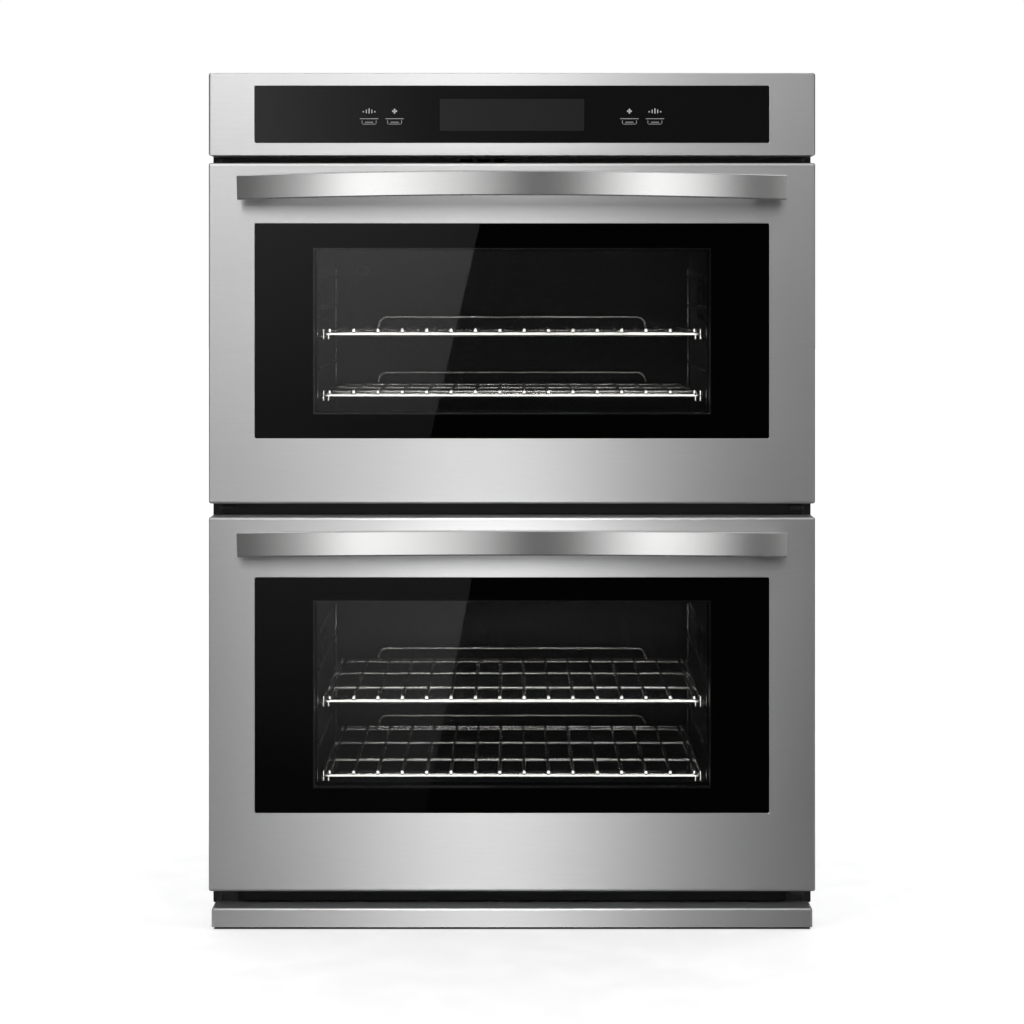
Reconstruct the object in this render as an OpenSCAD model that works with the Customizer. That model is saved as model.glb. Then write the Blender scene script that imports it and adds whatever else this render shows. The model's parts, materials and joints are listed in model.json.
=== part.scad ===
// Built-in double wall oven: chassis, two drop-down doors, racks, controls and cooling blower.
// +Z is up, the doors face -Y, and the origin is the middle of the footprint. Millimetres.

/* [Front face] */
// Width of the doors and the control fascia
face_w = 762; // [740:1:790]
// Height of the stainless trim at the bottom
trim_h = 27; // [20:1:30]
// Height of the dark air outlet above the trim
vent_gap = 21; // [18:1:26]
// Height of the lower door
lower_door_h = 470; // [460:1:480]
// Gap between the two doors
door_gap = 17; // [15:1:20]
// Height of the upper door
upper_door_h = 428; // [424:1:436]
// Gap between the upper door and the control fascia
fascia_gap = 9; // [6:1:12]
// Height of the control fascia
fascia_h = 104; // [100:1:116]

/* [Depth] */
// Depth of the chassis behind the front frame
body_depth = 580; // [560:1:620]
// Space between the front frame and a closed door
seal_gap = 6; // [5:0.5:8]
// Thickness of a door
door_t = 42; // [40:1:44]
// How far the middle of a handle stands out from its door
handle_reach = 62; // [56:1:70]

/* [Doors] */
// Width of the black glass in the doors and the fascia
glass_w = 646; // [620:1:660]
// Width of the clear window
window_w = 500; // [460:2:504]
// Length of a handle bar
handle_w = 682; // [640:2:700]
// Height of a handle bar
handle_h = 31; // [24:1:34]
// How far a handle bows outwards
handle_bow = 30; // [16:1:34]
// How far the middle of a handle arches upwards
handle_arch = 5; // [1:1:8]
// Radius of the hinge pins
pin_r = 4; // [3:0.5:4.5]
// Distance of the hinges from the middle of the door
hinge_x = 345; // [340:1:346]

/* [Ovens] */
// Width inside each oven
cavity_w = 510; // [508:2:516]
// Thickness of the insulation round each oven
wool_t = 28; // [20:1:30]
// Radius of the cross bars in the racks
rack_bar_r = 3; // [2.5:0.1:3.2]
// Radius of the long wires in the racks
rack_wire_r = 2.2; // [1.8:0.1:2.4]
// Number of long wires in a rack
rack_wires = 16; // [12:2:20]

/* [Fit] */
// Radial running clearance of pins, shafts and plungers
fit_gap = 0.05; // [0.03:0.01:0.09]
// Clearance between parts that slide past each other
slide_gap = 0.3; // [0.2:0.05:0.5]

/* [Hidden] */
$fn = 32;

steel = [0.77, 0.77, 0.76];
black = [0.06, 0.06, 0.07];
enamel = [0.12, 0.13, 0.16];
zinc = [0.66, 0.68, 0.69];
wool = [0.85, 0.80, 0.55];
wire = [0.82, 0.83, 0.84];
glass = [0.05, 0.06, 0.07, 0.55];
board = [0.10, 0.35, 0.16];
copper = [0.72, 0.45, 0.25];

// Sheet thicknesses
sheet = 1.2;
frame_t = 1.5;
liner_t = 2;
pane_t = 4;

// Places from front to back
back_y = (body_depth + seal_gap + door_t + handle_reach) / 2;
frame_y = back_y - body_depth;
shell_y = frame_y + frame_t;
door_back_y = frame_y - seal_gap;
face_y = door_back_y - door_t;
glass_y = face_y + sheet;
pane_back_y = glass_y + 5;
liner_y = door_back_y - sheet;
back_sheet_y = back_y - 2 - sheet;

// Places from the floor up
lower_z0 = trim_h + vent_gap;
lower_z1 = lower_z0 + lower_door_h;
upper_z0 = lower_z1 + door_gap;
upper_z1 = upper_z0 + upper_door_h;
fascia_z0 = upper_z1 + fascia_gap;
top_z = fascia_z0 + fascia_h;
shell_top = top_z - 10;

// Places from the middle outwards
frame_w = face_w - 14;
shell_w = face_w - 38;
shell_in = shell_w / 2 - sheet;

// An oven is [door bottom, door top, glass bottom, glass top, window bottom, window top,
// cavity floor, cavity roof, lowest rack rail, rail spacing]
LOWER = [lower_z0, lower_z1, lower_z0 + 98.5, lower_z1 - 75.5, lower_z0 + 129, lower_z1 - 105,
  lower_z0 + 62, lower_z1 - 73, lower_z0 + 76, 48];
UPPER = [upper_z0, upper_z1, upper_z0 + 82, upper_z1 - 76, upper_z0 + 112, upper_z1 - 107,
  upper_z0 + 65, upper_z1 - 73, upper_z0 + 87.3, 39.5];
OVENS = [LOWER, UPPER];
function door_z0(o) = o[0];
function door_z1(o) = o[1];
function glass_z0(o) = o[2];
function glass_z1(o) = o[3];
function window_z0(o) = o[4];
function window_z1(o) = o[5];
function floor_z(o) = o[6];
function roof_z(o) = o[7];
function rail_z(o, i) = o[8] + i * o[9];

// Cavities
cavity_x = cavity_w / 2;
cavity_back = back_y - 105;
wool_back = cavity_back + liner_t + wool_t;
wool_x = cavity_x + liner_t + wool_t;
heater_gap = 22;
rails = 6;
rail_r = 2.5;
rail_x = cavity_x - 7;
post_x = cavity_x - 3;
rack_front = frame_y + 52;
rack_back = cavity_back - 24;
rack_side_x = cavity_x - 9.5;
rail_front = rack_front - 10;
rail_back = rack_back + 6;
rod_lift = sqrt(pow(rail_r + rack_bar_r + slide_gap, 2) - pow(rail_x - rack_side_x, 2));
lamp_y = -59;
lamp_len = 110;
lamp_tall = 48;
function lamp_z(o) = roof_z(o) - (o == UPPER ? 104 : 121);
probe_x = 215;
heater_r = 3.4;
heater_x = 200;
heater_front = -150;
heater_rear = cavity_back - 50;
heater_runs = 6;

// Hinges
axis_y = face_y + 18;
function axis_z(o) = door_z0(o) + 8.5;
arm_r = 7;
arm_t = 6;
arm_back = -160;
slot_w = 10;

// Door switches
switch_x = 300;
plunger_r = 4;
function switch_z(o) = door_z1(o) - (o == UPPER ? 18 : 38);

// Electronics bay
deck_z = roof_z(UPPER) + 40;
bay_z = deck_z + sheet;
mid_deck_z = lower_z1 - 18;
wheel_r = 55;
scroll_r = 72;
scroll_y = 60;
scroll_z1 = bay_z + 64;
motor_z = scroll_z1 + 10;
shaft_r = 4;
blades = 20;
box_x = 250;
knockout_r = 11.1;
knockout_z = bay_z + 45;

// Shapes
module box(x0, x1, y0, y1, z0, z1)
  translate([x0, y0, z0])
    cube([x1 - x0, y1 - y0, z1 - z0]);

module area(x0, x1, y0, y1)
  translate([x0, y0])
    square([x1 - x0, y1 - y0]);

// An upright sheet seen from the front: its outline is drawn in x and z
module front_sheet(y, t)
  translate([0, y + t, 0])
    rotate([90, 0, 0])
      linear_extrude(t)
        children();

// An upright sheet seen from the side: its outline is drawn in y and z
module side_sheet(x, t)
  translate([x, 0, 0])
    rotate([90, 0, 90])
      linear_extrude(t)
        children();

module rod_x(x0, x1, y, z, r)
  translate([x0, y, z])
    rotate([0, 90, 0])
      cylinder(r = r, h = x1 - x0);

module rod_y(x, y0, y1, z, r)
  translate([x, y1, z])
    rotate([90, 0, 0])
      cylinder(r = r, h = y1 - y0);

module rod_z(x, y, z0, z1, r)
  translate([x, y, z0])
    cylinder(r = r, h = z1 - z0);

// A rectangle with round corners
module round_area(x0, x1, y0, y1, r) {
  area(x0 + r, x1 - r, y0, y1);
  area(x0, x1, y0 + r, y1 - r);
  for (x = [x0 + r, x1 - r])
    for (y = [y0 + r, y1 - r])
      translate([x, y])
        circle(r = r);
}

// A slot with round ends, lying along the first axis
module slot(x, y, length, width)
  round_area(x - length / 2, x + length / 2, y - width / 2, y + width / 2, width / 2 - 0.01);

// A rectangular tube with its front and back open
module sleeve(x0, x1, y0, y1, z0, z1, t)
  front_sheet(y0, y1 - y0)
    difference() {
      area(x0, x1, z0, z1);
      area(x0 + t, x1 - t, z0 + t, z1 - t);
    }

module both_sides()
  for (s = [0, 1])
    mirror([s, 0, 0])
      children();

// Chassis
frame_z0 = 20;
frame_z1 = shell_top;
outlet_slots = 22;
mount_x = frame_w / 2 - 6;
mount_z = [lower_z0 + 152, fascia_z0 - 92];
mount_r = 2.6;

module front_frame()
  color(black)
    front_sheet(frame_y, frame_t)
      difference() {
        area(-frame_w / 2, frame_w / 2, frame_z0, frame_z1);
        for (o = OVENS) {
          area(-cavity_x, cavity_x, floor_z(o), roof_z(o));
          for (s = [-1, 1])
            area(s * hinge_x - slot_w / 2, s * hinge_x + slot_w / 2, axis_z(o) - 9, axis_z(o) + 9);
          translate([switch_x, switch_z(o)])
            circle(r = plunger_r + 0.5);
        }
        for (i = [0:outlet_slots - 1])
          slot((i - (outlet_slots - 1) / 2) * 24, trim_h + 11, 19, 5);
        for (i = [-1:1])
          slot(i * 22 - scroll_r / 2, upper_z1 + 4.5, 17, 5);
        area(-60, 60, fascia_z0 + 20, fascia_z0 + 50);
        for (s = [-1, 1])
          for (z = mount_z)
            translate([s * mount_x, z])
              circle(r = mount_r);
      }

module side_panel()
  color(zinc)
    side_sheet(shell_in, sheet)
      difference() {
        area(shell_y, back_sheet_y, sheet, shell_top);
        for (i = [0:8])
          for (y = [40, 180])
            slot(y, bay_z + 20 + i * 10, 110, 5);
        for (i = [0:11])
          slot(-150 + i * 40, 34, 30, 6);
      }

module side_panel_left()
  mirror([1, 0, 0])
    side_panel();

module side_panel_right() side_panel();

module top_cover()
  color(zinc)
    translate([0, 0, shell_top])
      difference() {
        linear_extrude(sheet)
          area(-shell_w / 2, shell_w / 2, frame_y, back_sheet_y);
        for (i = [0:9])
          for (s = [-1, 1])
            translate([0, 0, -1])
              linear_extrude(sheet + 2)
                slot(s * 200, 40 + i * 18, 150, 6);
      }

module back_panel()
  color(zinc)
    front_sheet(back_sheet_y, sheet)
      difference() {
        area(-shell_w / 2, shell_w / 2, sheet, shell_top + sheet);
        area(box_x - 60, box_x + 60, bay_z, bay_z + 90);
        for (i = [0:9])
          slot(-160, bay_z + 20 + i * 9, 180, 4);
        for (i = [0:6])
          for (s = [-1, 1])
            slot(s * 180, mid_deck_z + 8 + i * 6, 150, 3);
      }

module base_pan()
  color(zinc)
    difference() {
      box(-shell_in, shell_in, shell_y, back_sheet_y, 0, 16);
      box(-shell_in + frame_t, shell_in - frame_t, shell_y + frame_t, back_sheet_y - frame_t, frame_t, 17);
      for (x = [-2:2])
        for (y = [0:3])
          rod_z(x * 120, -120 + y * 110, -1, 3, 9);
    }

module decks()
  color(zinc)
    for (z = [mid_deck_z, deck_z])
      translate([0, 0, z])
        linear_extrude(sheet)
          difference() {
            area(-shell_in, shell_in, shell_y, back_sheet_y);
            for (x = [-300, 300])
              slot(x, 180, 60, 30);
          }

module bottom_vent_trim()
  color(steel)
    difference() {
      box(-face_w / 2 + 3.5, face_w / 2 - 3.5, face_y + 1, frame_y, 0.5, trim_h);
      box(-face_w / 2 + 4.7, face_w / 2 - 4.7, face_y + 1 + sheet, frame_y + 1, -1, trim_h - sheet);
    }

// Controls
module control_fascia()
  color(steel)
    difference() {
      box(-face_w / 2, face_w / 2, face_y, frame_y, fascia_z0, top_z);
      box(-face_w / 2 + sheet, face_w / 2 - sheet, glass_y, frame_y + 1, fascia_z0 + sheet, top_z - sheet);
      front_sheet(face_y - 1, sheet + 2)
        round_area(-glass_w / 2, glass_w / 2, fascia_z0 + 15.5, top_z - 15.5, 1.5);
    }

module control_glass()
  color(glass)
    box(-glass_w / 2 - 8, glass_w / 2 + 8, glass_y, glass_y + pane_t, fascia_z0 + 8, top_z - 8);

display_z0 = fascia_z0 + 30;
display_y = glass_y + pane_t;

module display_module()
  color([0.16, 0.17, 0.18]) {
    box(-92, 92, display_y, display_y + 10, display_z0, display_z0 + 43);
    for (s = [-1, 1])
      for (i = [0:1])
        translate([s * (165 + i * 30), display_y, display_z0 + 12])
          front_sheet(0, 3)
            round_area(-13, 13, 0, 20, 4);
  }

tray_y = frame_y - 16;
board_y = tray_y - 6;

module control_board()
  color(board) {
    difference() {
      box(-290, 290, board_y, board_y + 1.6, fascia_z0 + 20, top_z - 20);
      for (x = [-270, -90, 90, 270])
        rod_y(x, board_y - 1, board_y + 3, fascia_z0 + 52, 1.5);
    }
    box(-200, -160, board_y - 6, board_y, fascia_z0 + 40, fascia_z0 + 64);
    box(150, 190, board_y - 5, board_y, fascia_z0 + 34, fascia_z0 + 56);
    for (x = [-240, -225, -130, 220, 240])
      rod_y(x, board_y - 7, board_y, fascia_z0 + 36, 5);
  }

module control_tray()
  color(zinc) {
    box(-330, 330, tray_y, tray_y + sheet, fascia_z0 + 8, top_z - 8);
    for (z = [fascia_z0 + 8, top_z - 8 - sheet])
      box(-330, 330, tray_y - 12, tray_y, z, z + sheet);
    for (x = [-310, 310])
      box(x - 8, x + 8, tray_y + sheet, frame_y, fascia_z0 + 12, top_z - 16);
    for (x = [-270, -90, 90, 270]) {
      rod_y(x, board_y + 1.6, tray_y, fascia_z0 + 52, 3);
      rod_y(x, board_y - 2, board_y + 1.6, fascia_z0 + 52, 1.5);
    }
  }

module power_board()
  color(board) {
    for (x = [-320, -150])
      for (y = [70, 240])
        rod_z(x, y, bay_z, bay_z + 8, 3);
    box(-330, -140, 60, 250, bay_z + 8, bay_z + 9.6);
    box(-310, -250, 80, 130, bay_z + 9.6, bay_z + 54);
    for (i = [0:4])
      box(-230 + i * 16, -218 + i * 16, 80, 108, bay_z + 9.6, bay_z + 28);
    for (i = [0:2])
      rod_z(-300 + i * 30, 190, bay_z + 9.6, bay_z + 40, 11);
    box(-200, -160, 180, 200, bay_z + 9.6, bay_z + 24);
  }

module junction_box()
  color(zinc)
    difference() {
      box(box_x - 60, box_x + 60, back_y - 82, back_y, bay_z, bay_z + 90);
      box(box_x - 58, box_x + 58, back_y - 80, back_y - 2, bay_z + 2, bay_z + 88);
      rod_y(box_x, back_y - 3, back_y + 1, knockout_z, knockout_r);
      rod_y(box_x - 35, back_y - 83, back_y - 79, bay_z + 60, 6);
    }

module terminal_block()
  color([0.9, 0.88, 0.8])
    difference() {
      box(box_x - 32, box_x + 32, back_y - 60, back_y - 36, bay_z + 2, bay_z + 26);
      for (i = [-1:1])
        rod_z(box_x + i * 20, back_y - 48, bay_z + 12, bay_z + 27, 5);
    }

// A lead that runs along the deck and ends at a connector at each side
module lead(x0, x1, y0, y1, z, r, bend) {
  rod_y(x0, y0, y1 - bend, z, r);
  translate([x0 + bend, y1 - bend, z])
    rotate([0, 0, 90])
      rotate_extrude(angle = 90)
        translate([bend, 0])
          circle(r = r);
  rod_x(x0 + bend, x1, y1, z, r);
}

module wiring_harness()
  color([0.75, 0.74, 0.7]) {
    lead(-112, 180, -200, 236, bay_z + 6, 5, 40);
    translate([-112, -200, 0])
      box(-10, 10, -12, 0, bay_z, bay_z + 14);
    translate([180, 236, 0])
      box(0, 10, -10, 10, bay_z, bay_z + 14);
  }

// Cooling blower: a scroll on the upper deck that blows forwards to the gap above the upper door
module blower_housing()
  color(zinc)
    difference() {
      union() {
        rod_z(0, scroll_y, bay_z, scroll_z1, scroll_r);
        box(-scroll_r, 0, shell_y, scroll_y, bay_z, scroll_z1 - 14);
      }
      rod_z(0, scroll_y, bay_z + frame_t, scroll_z1 - frame_t, scroll_r - frame_t);
      box(-scroll_r + frame_t, -frame_t, shell_y - 1, scroll_y, bay_z + frame_t, scroll_z1 - 14 - frame_t);
      rod_z(0, scroll_y, bay_z, scroll_z1 + 1, 34);
    }

module blower_motor()
  color([0.35, 0.36, 0.38]) {
    difference() {
      rod_z(0, scroll_y, motor_z, motor_z + 36, 30);
      rod_z(0, scroll_y, motor_z - 1, motor_z + 30, shaft_r + fit_gap);
    }
    for (a = [0, 120, 240])
      translate([0, scroll_y, 0])
        rotate([0, 0, a + 30]) {
          box(26, 62, -6, 6, motor_z, motor_z + 2);
          box(58, 62, -6, 6, scroll_z1, motor_z);
        }
  }

module blower_wheel()
  color(black)
    translate([0, scroll_y, bay_z + 8]) {
      cylinder(r = wheel_r, h = 2);
      cylinder(r = 12, h = 30);
      cylinder(r = shaft_r, h = motor_z + 28 - bay_z - 8);
      difference() {
        translate([0, 0, 40])
          cylinder(r = wheel_r, h = 2);
        translate([0, 0, 39])
          cylinder(r = wheel_r - 14, h = 4);
      }
      for (i = [0:blades - 1])
        rotate([0, 0, i * 360 / blades])
          translate([wheel_r - 8, 0, 1])
            rotate([0, 0, 35])
              translate([-6, -0.75, 0])
                cube([12, 1.5, 40]);
    }

// Ovens
module cavity(o)
  color(enamel)
    difference() {
      union() {
        box(-cavity_x - liner_t, cavity_x + liner_t, shell_y, cavity_back + liner_t,
          floor_z(o) - liner_t, roof_z(o) + liner_t);
        box(-cavity_x - 22, cavity_x + 22, shell_y, shell_y + liner_t, floor_z(o) - 20, roof_z(o) + 14);
      }
      box(-cavity_x, cavity_x, shell_y - 1, cavity_back, floor_z(o), roof_z(o));
      both_sides()
        side_sheet(cavity_x - 1, liner_t + 2)
          slot(lamp_y, lamp_z(o), lamp_len - 14, lamp_tall - 14);
      for (s = [-1, 1])
        rod_y(s * heater_x, cavity_back - 1, cavity_back + 4, roof_z(o) - 18, heater_r + 0.4);
      rod_y(-probe_x, cavity_back - 1, cavity_back + 4, roof_z(o) - 60, 2.6);
    }

module upper_cavity() cavity(UPPER);
module lower_cavity() cavity(LOWER);

module insulation_blankets()
  color(wool)
    for (o = OVENS)
      difference() {
        box(-wool_x, wool_x, shell_y + liner_t, wool_back,
          floor_z(o) - liner_t - heater_gap - wool_t, roof_z(o) + liner_t + wool_t);
        box(-cavity_x - liner_t, cavity_x + liner_t, shell_y, cavity_back + liner_t,
          floor_z(o) - liner_t - heater_gap, roof_z(o) + liner_t);
        both_sides()
          side_sheet(cavity_x, wool_t + 10)
            slot(lamp_y, lamp_z(o), lamp_len, lamp_tall);
        for (s = [-1, 1])
          for (z = [roof_z(o) - 18, floor_z(o) - 14])
            rod_y(s * heater_x, cavity_back, wool_back + 1, z, 5);
        rod_y(-probe_x, cavity_back, wool_back + 1, roof_z(o) - 60, 5);
      }

module door_gaskets()
  color([0.1, 0.1, 0.1])
    for (o = OVENS)
      front_sheet(door_back_y + slide_gap, seal_gap - slide_gap)
        difference() {
          round_area(-cavity_x - 15, cavity_x + 15, floor_z(o) - 15, roof_z(o) + 15, 15);
          round_area(-cavity_x - 3, cavity_x + 3, floor_z(o) - 3, roof_z(o) + 3, 3);
        }

module rack_ladder(o) {
  z0 = rail_z(o, 0) - 12;
  z1 = rail_z(o, rails - 1) + 12;
  for (y = [rail_front, rail_back])
    rod_z(post_x, y, z0, z1, rail_r);
  for (i = [0:rails - 1])
    rod_y(rail_x, rail_front, rail_back, rail_z(o, i), rail_r);
  for (y = [rail_front, rail_back])
    for (z = [z0 + 5, z1 - 5])
      rod_x(post_x, cavity_x, y, z, 2);
}

module rack_ladders()
  color(wire)
    for (o = OVENS)
      both_sides()
        rack_ladder(o);

// A heating element: straight runs joined by half turns, with both ends through the back
module heater(z) {
  pitch = 2 * heater_x / (heater_runs - 1);
  for (i = [0:heater_runs - 1]) {
    outer = i == 0 || i == heater_runs - 1;
    rod_y(-heater_x + i * pitch, heater_front, outer ? wool_back + 12 : heater_rear, z, heater_r);
  }
  for (i = [0:heater_runs - 2])
    translate([-heater_x + (i + 0.5) * pitch, i % 2 == 0 ? heater_front : heater_rear, z])
      rotate([0, 0, i % 2 == 0 ? 180 : 0])
        rotate_extrude(angle = 180)
          translate([pitch / 2, 0])
            circle(r = heater_r);
}

module bake_elements()
  color([0.3, 0.29, 0.28])
    for (o = OVENS)
      heater(floor_z(o) - 14);

module broil_elements()
  color([0.3, 0.29, 0.28])
    for (o = OVENS)
      heater(roof_z(o) - 18);

module temperature_probes()
  color(wire)
    for (o = OVENS) {
      rod_y(-probe_x, cavity_back - 78, cavity_back + liner_t + 40, roof_z(o) - 60, 2.4);
      rod_y(-probe_x, cavity_back - 1.5, cavity_back, roof_z(o) - 60, 9);
    }

module lamp_housings()
  color(zinc)
    for (o = OVENS)
      both_sides()
        difference() {
          side_sheet(cavity_x + liner_t, wool_t + 12)
            slot(lamp_y, lamp_z(o), lamp_len, lamp_tall);
          side_sheet(cavity_x + liner_t - 1, wool_t + 11)
            slot(lamp_y, lamp_z(o), lamp_len - 4, lamp_tall - 4);
          translate([wool_x, lamp_y, lamp_z(o)])
            rotate([0, 90, 0])
              cylinder(r = 9, h = 20);
        }

module lamp_lenses()
  color([0.8, 0.85, 0.85, 0.6])
    for (o = OVENS)
      both_sides() {
        side_sheet(cavity_x - 4, 4)
          slot(lamp_y, lamp_z(o), lamp_len, lamp_tall);
        side_sheet(cavity_x, 2)
          slot(lamp_y, lamp_z(o), lamp_len - 14, lamp_tall - 14);
      }

// Hinges
module hinge_arm(o)
  difference() {
    side_sheet(hinge_x - arm_t / 2, arm_t)
      union() {
        translate([axis_y, axis_z(o)])
          circle(r = arm_r);
        area(axis_y, arm_back, axis_z(o) - arm_r, axis_z(o) + arm_r);
      }
    rod_x(hinge_x - arm_t, hinge_x + arm_t, axis_y, axis_z(o), pin_r + fit_gap);
  }

module hinge_arms()
  color(zinc)
    for (o = OVENS)
      both_sides()
        hinge_arm(o);

module hinge_receivers()
  color([0.5, 0.51, 0.52])
    for (o = OVENS)
      both_sides()
        difference() {
          box(hinge_x - 10, hinge_x + 10, shell_y, arm_back + 14, axis_z(o) - 15, axis_z(o) + 15);
          box(hinge_x - arm_t / 2, hinge_x + arm_t / 2, shell_y - 1, arm_back,
            axis_z(o) - arm_r, axis_z(o) + arm_r);
        }

module door_switches()
  color(black)
    for (o = OVENS)
      difference() {
        box(switch_x - 14, switch_x + 14, shell_y, shell_y + 34, switch_z(o) - 9, switch_z(o) + 9);
        rod_y(switch_x, shell_y - 1, shell_y + 26, switch_z(o), plunger_r + fit_gap);
      }

module switch_plunger(o)
  color([0.85, 0.85, 0.83])
    rod_y(switch_x, door_back_y + slide_gap, shell_y + 20, switch_z(o), plunger_r);

module upper_switch_plunger() switch_plunger(UPPER);
module lower_switch_plunger() switch_plunger(LOWER);

// A hexagon washer-head screw that sits on the z = 0 plane
module screw_head() {
  cylinder(r = 4.5, h = 0.8);
  cylinder(r = 3.4, h = 2, $fn = 6);
}

module chassis_screws()
  color(steel) {
    both_sides()
      for (y = [-200, 60, 310])
        for (z = [60, mid_deck_z + sheet / 2, shell_top - 20])
          translate([shell_w / 2, y, z])
            rotate([0, 90, 0])
              screw_head();
    both_sides()
      for (y = [-210, 20, 300])
        translate([shell_w / 2 - 20, y, shell_top + sheet])
          screw_head();
    for (x = [-345, -120, 120, 345])
      for (z = [30, mid_deck_z - 40, shell_top - 12])
        translate([x, back_sheet_y + sheet, z])
          rotate([-90, 0, 0])
            screw_head();
  }

// Racks
module rack(o, level) {
  z = rail_z(o, level) + rod_lift;
  wire_z = z + rack_bar_r + rack_wire_r - 1;
  pitch = 2 * (rack_side_x - 10) / (rack_wires - 1);
  stop_x = 190;
  stop_z = z + 17;
  stop_bend = 12;
  color(wire) {
    rod_x(-rack_side_x, rack_side_x, rack_front, z, rack_bar_r + 0.5);
    for (y = [rack_front + 120, rack_front + 260, rack_back - 18, rack_back])
      rod_x(-rack_side_x, rack_side_x, y, z, rack_bar_r - 0.2);
    for (s = [-1, 1])
      rod_y(s * rack_side_x, rack_front, rack_back + 2, z, rack_bar_r);
    for (i = [0:rack_wires - 1])
      rod_y(-rack_side_x + 10 + i * pitch, rack_front - 3, rack_back + 2, wire_z, rack_wire_r);
    rod_x(-stop_x + stop_bend, stop_x - stop_bend, rack_back, stop_z, 2.5);
    both_sides()
      translate([stop_x - stop_bend, rack_back, stop_z - stop_bend])
        rotate([90, 0, 0]) {
          rotate_extrude(angle = 90)
            translate([stop_bend, 0])
              circle(r = 2.5);
          translate([stop_bend, 0, 0])
            rotate([90, 0, 0])
              cylinder(r = 2.5, h = 4);
        }
  }
}

module upper_oven_top_rack() rack(UPPER, 3);
module upper_oven_bottom_rack() rack(UPPER, 1);
module lower_oven_top_rack() rack(LOWER, 3);
module lower_oven_bottom_rack() rack(LOWER, 1);

// Doors
module door_skin(o)
  color(steel)
    difference() {
      box(-face_w / 2, face_w / 2, face_y, liner_y, door_z0(o), door_z1(o));
      box(-face_w / 2 + sheet, face_w / 2 - sheet, glass_y, liner_y + 1,
        door_z0(o) + sheet, door_z1(o) - sheet);
      front_sheet(face_y - 1, sheet + 2)
        round_area(-glass_w / 2, glass_w / 2, glass_z0(o), glass_z1(o), 2);
      for (s = [-1, 1])
        box(s * hinge_x - slot_w / 2, s * hinge_x + slot_w / 2, axis_y - arm_r - 2, liner_y + 1,
          door_z0(o) - 1, door_z0(o) + sheet + 1);
      for (i = [0:11])
        box(-287 + i * 50, -263 + i * 50, face_y + 12, face_y + 18, door_z0(o) - 1, door_z0(o) + sheet + 1);
    }

module door_glass(o)
  color(glass)
    box(-glass_w / 2 - 8, glass_w / 2 + 8, glass_y, pane_back_y, glass_z0(o) - 8, glass_z1(o) + 8);

module door_panes(o)
  color(glass) {
    box(-window_w / 2 - 20, window_w / 2 + 20, liner_y - pane_t, liner_y,
      window_z0(o) - 20, window_z1(o) + 20);
    box(-window_w / 2 - 24, window_w / 2 + 24, liner_y - 20, liner_y - 20 + pane_t,
      window_z0(o) - 24, window_z1(o) + 24);
  }

module door_liner(o)
  color(enamel)
    front_sheet(liner_y, sheet)
      difference() {
        round_area(-face_w / 2 + 0.5, face_w / 2 - 0.5, door_z0(o) + 0.5, door_z1(o) - 0.5, 3);
        round_area(-window_w / 2 - 10, window_w / 2 + 10, window_z0(o) - 10, window_z1(o) + 10, 6);
        for (s = [-1, 1])
          area(s * hinge_x - slot_w / 2, s * hinge_x + slot_w / 2, door_z0(o) - 1, axis_z(o) + arm_r + 2);
        for (i = [0:9])
          slot((i - 4.5) * 60, door_z1(o) - 20, 40, 4);
      }

module door_wool(o)
  color(wool)
    difference() {
      box(-hinge_x + 15, hinge_x - 15, pane_back_y, liner_y, door_z0(o) + 24, door_z1(o) - 30);
      box(-window_w / 2 - 20, window_w / 2 + 20, pane_back_y - 1, liner_y + 1,
        window_z0(o) - 20, window_z1(o) + 20);
      box(-window_w / 2 - 24, window_w / 2 + 24, liner_y - 20, liner_y - 20 + pane_t,
        window_z0(o) - 24, window_z1(o) + 24);
      box(-glass_w, glass_w, pane_back_y - 1, pane_back_y + 2, glass_z1(o) - 4, door_z1(o));
    }

bar_t = 12;
bow_y = face_y - handle_reach + bar_t / 2 + handle_bow;
bow_depth = norm([handle_bow, handle_arch]);
bow_r = (pow(handle_w / 2, 2) + pow(bow_depth, 2)) / (2 * bow_depth);
bow_angle = asin(handle_w / 2 / bow_r);
bow_tilt = atan2(handle_arch, handle_bow);
function handle_z(o) = door_z1(o) - 32;

// The bar bows outwards and arches upwards along one true arc, and its section stays upright
module handle_solid(o)
  translate([0, bow_y, handle_z(o)])
    rotate([-bow_tilt, 0, 0])
      translate([0, bow_r - bow_depth, 0])
        rotate([0, 0, -90 - bow_angle])
          rotate_extrude(angle = 2 * bow_angle, $fn = 720)
            translate([bow_r, 0])
              rotate(-bow_tilt)
                round_area(-bar_t / 2, bar_t / 2, -handle_h / 2, handle_h / 2, 2);

module handle_bar(o)
  color(steel)
    handle_solid(o);

module handle_posts(o)
  color([0.55, 0.55, 0.55])
    difference() {
      both_sides()
        box(handle_w / 2 - 34, handle_w / 2 - 8, bow_y - bar_t / 2, face_y,
          handle_z(o) - 11, handle_z(o) + 11);
      handle_solid(o);
      box(-handle_w, handle_w, bow_y - 60, bow_y - bar_t / 2 + 4, 0, top_z);
    }

channel_top = 150;

module hinge_channels(o)
  color(zinc)
    both_sides()
      difference() {
        box(hinge_x - 11, hinge_x + 11, pane_back_y, liner_y - 1, door_z0(o) + 2, door_z0(o) + channel_top);
        box(hinge_x - 8.5, hinge_x + 8.5, pane_back_y + 2.5, liner_y, door_z0(o), door_z0(o) + channel_top + 1);
        rod_x(hinge_x - 12, hinge_x + 12, axis_y, axis_z(o), pin_r);
      }

module hinge_pins(o)
  color(steel)
    both_sides()
      rod_x(hinge_x - 12, hinge_x + 12, axis_y, axis_z(o), pin_r);

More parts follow.
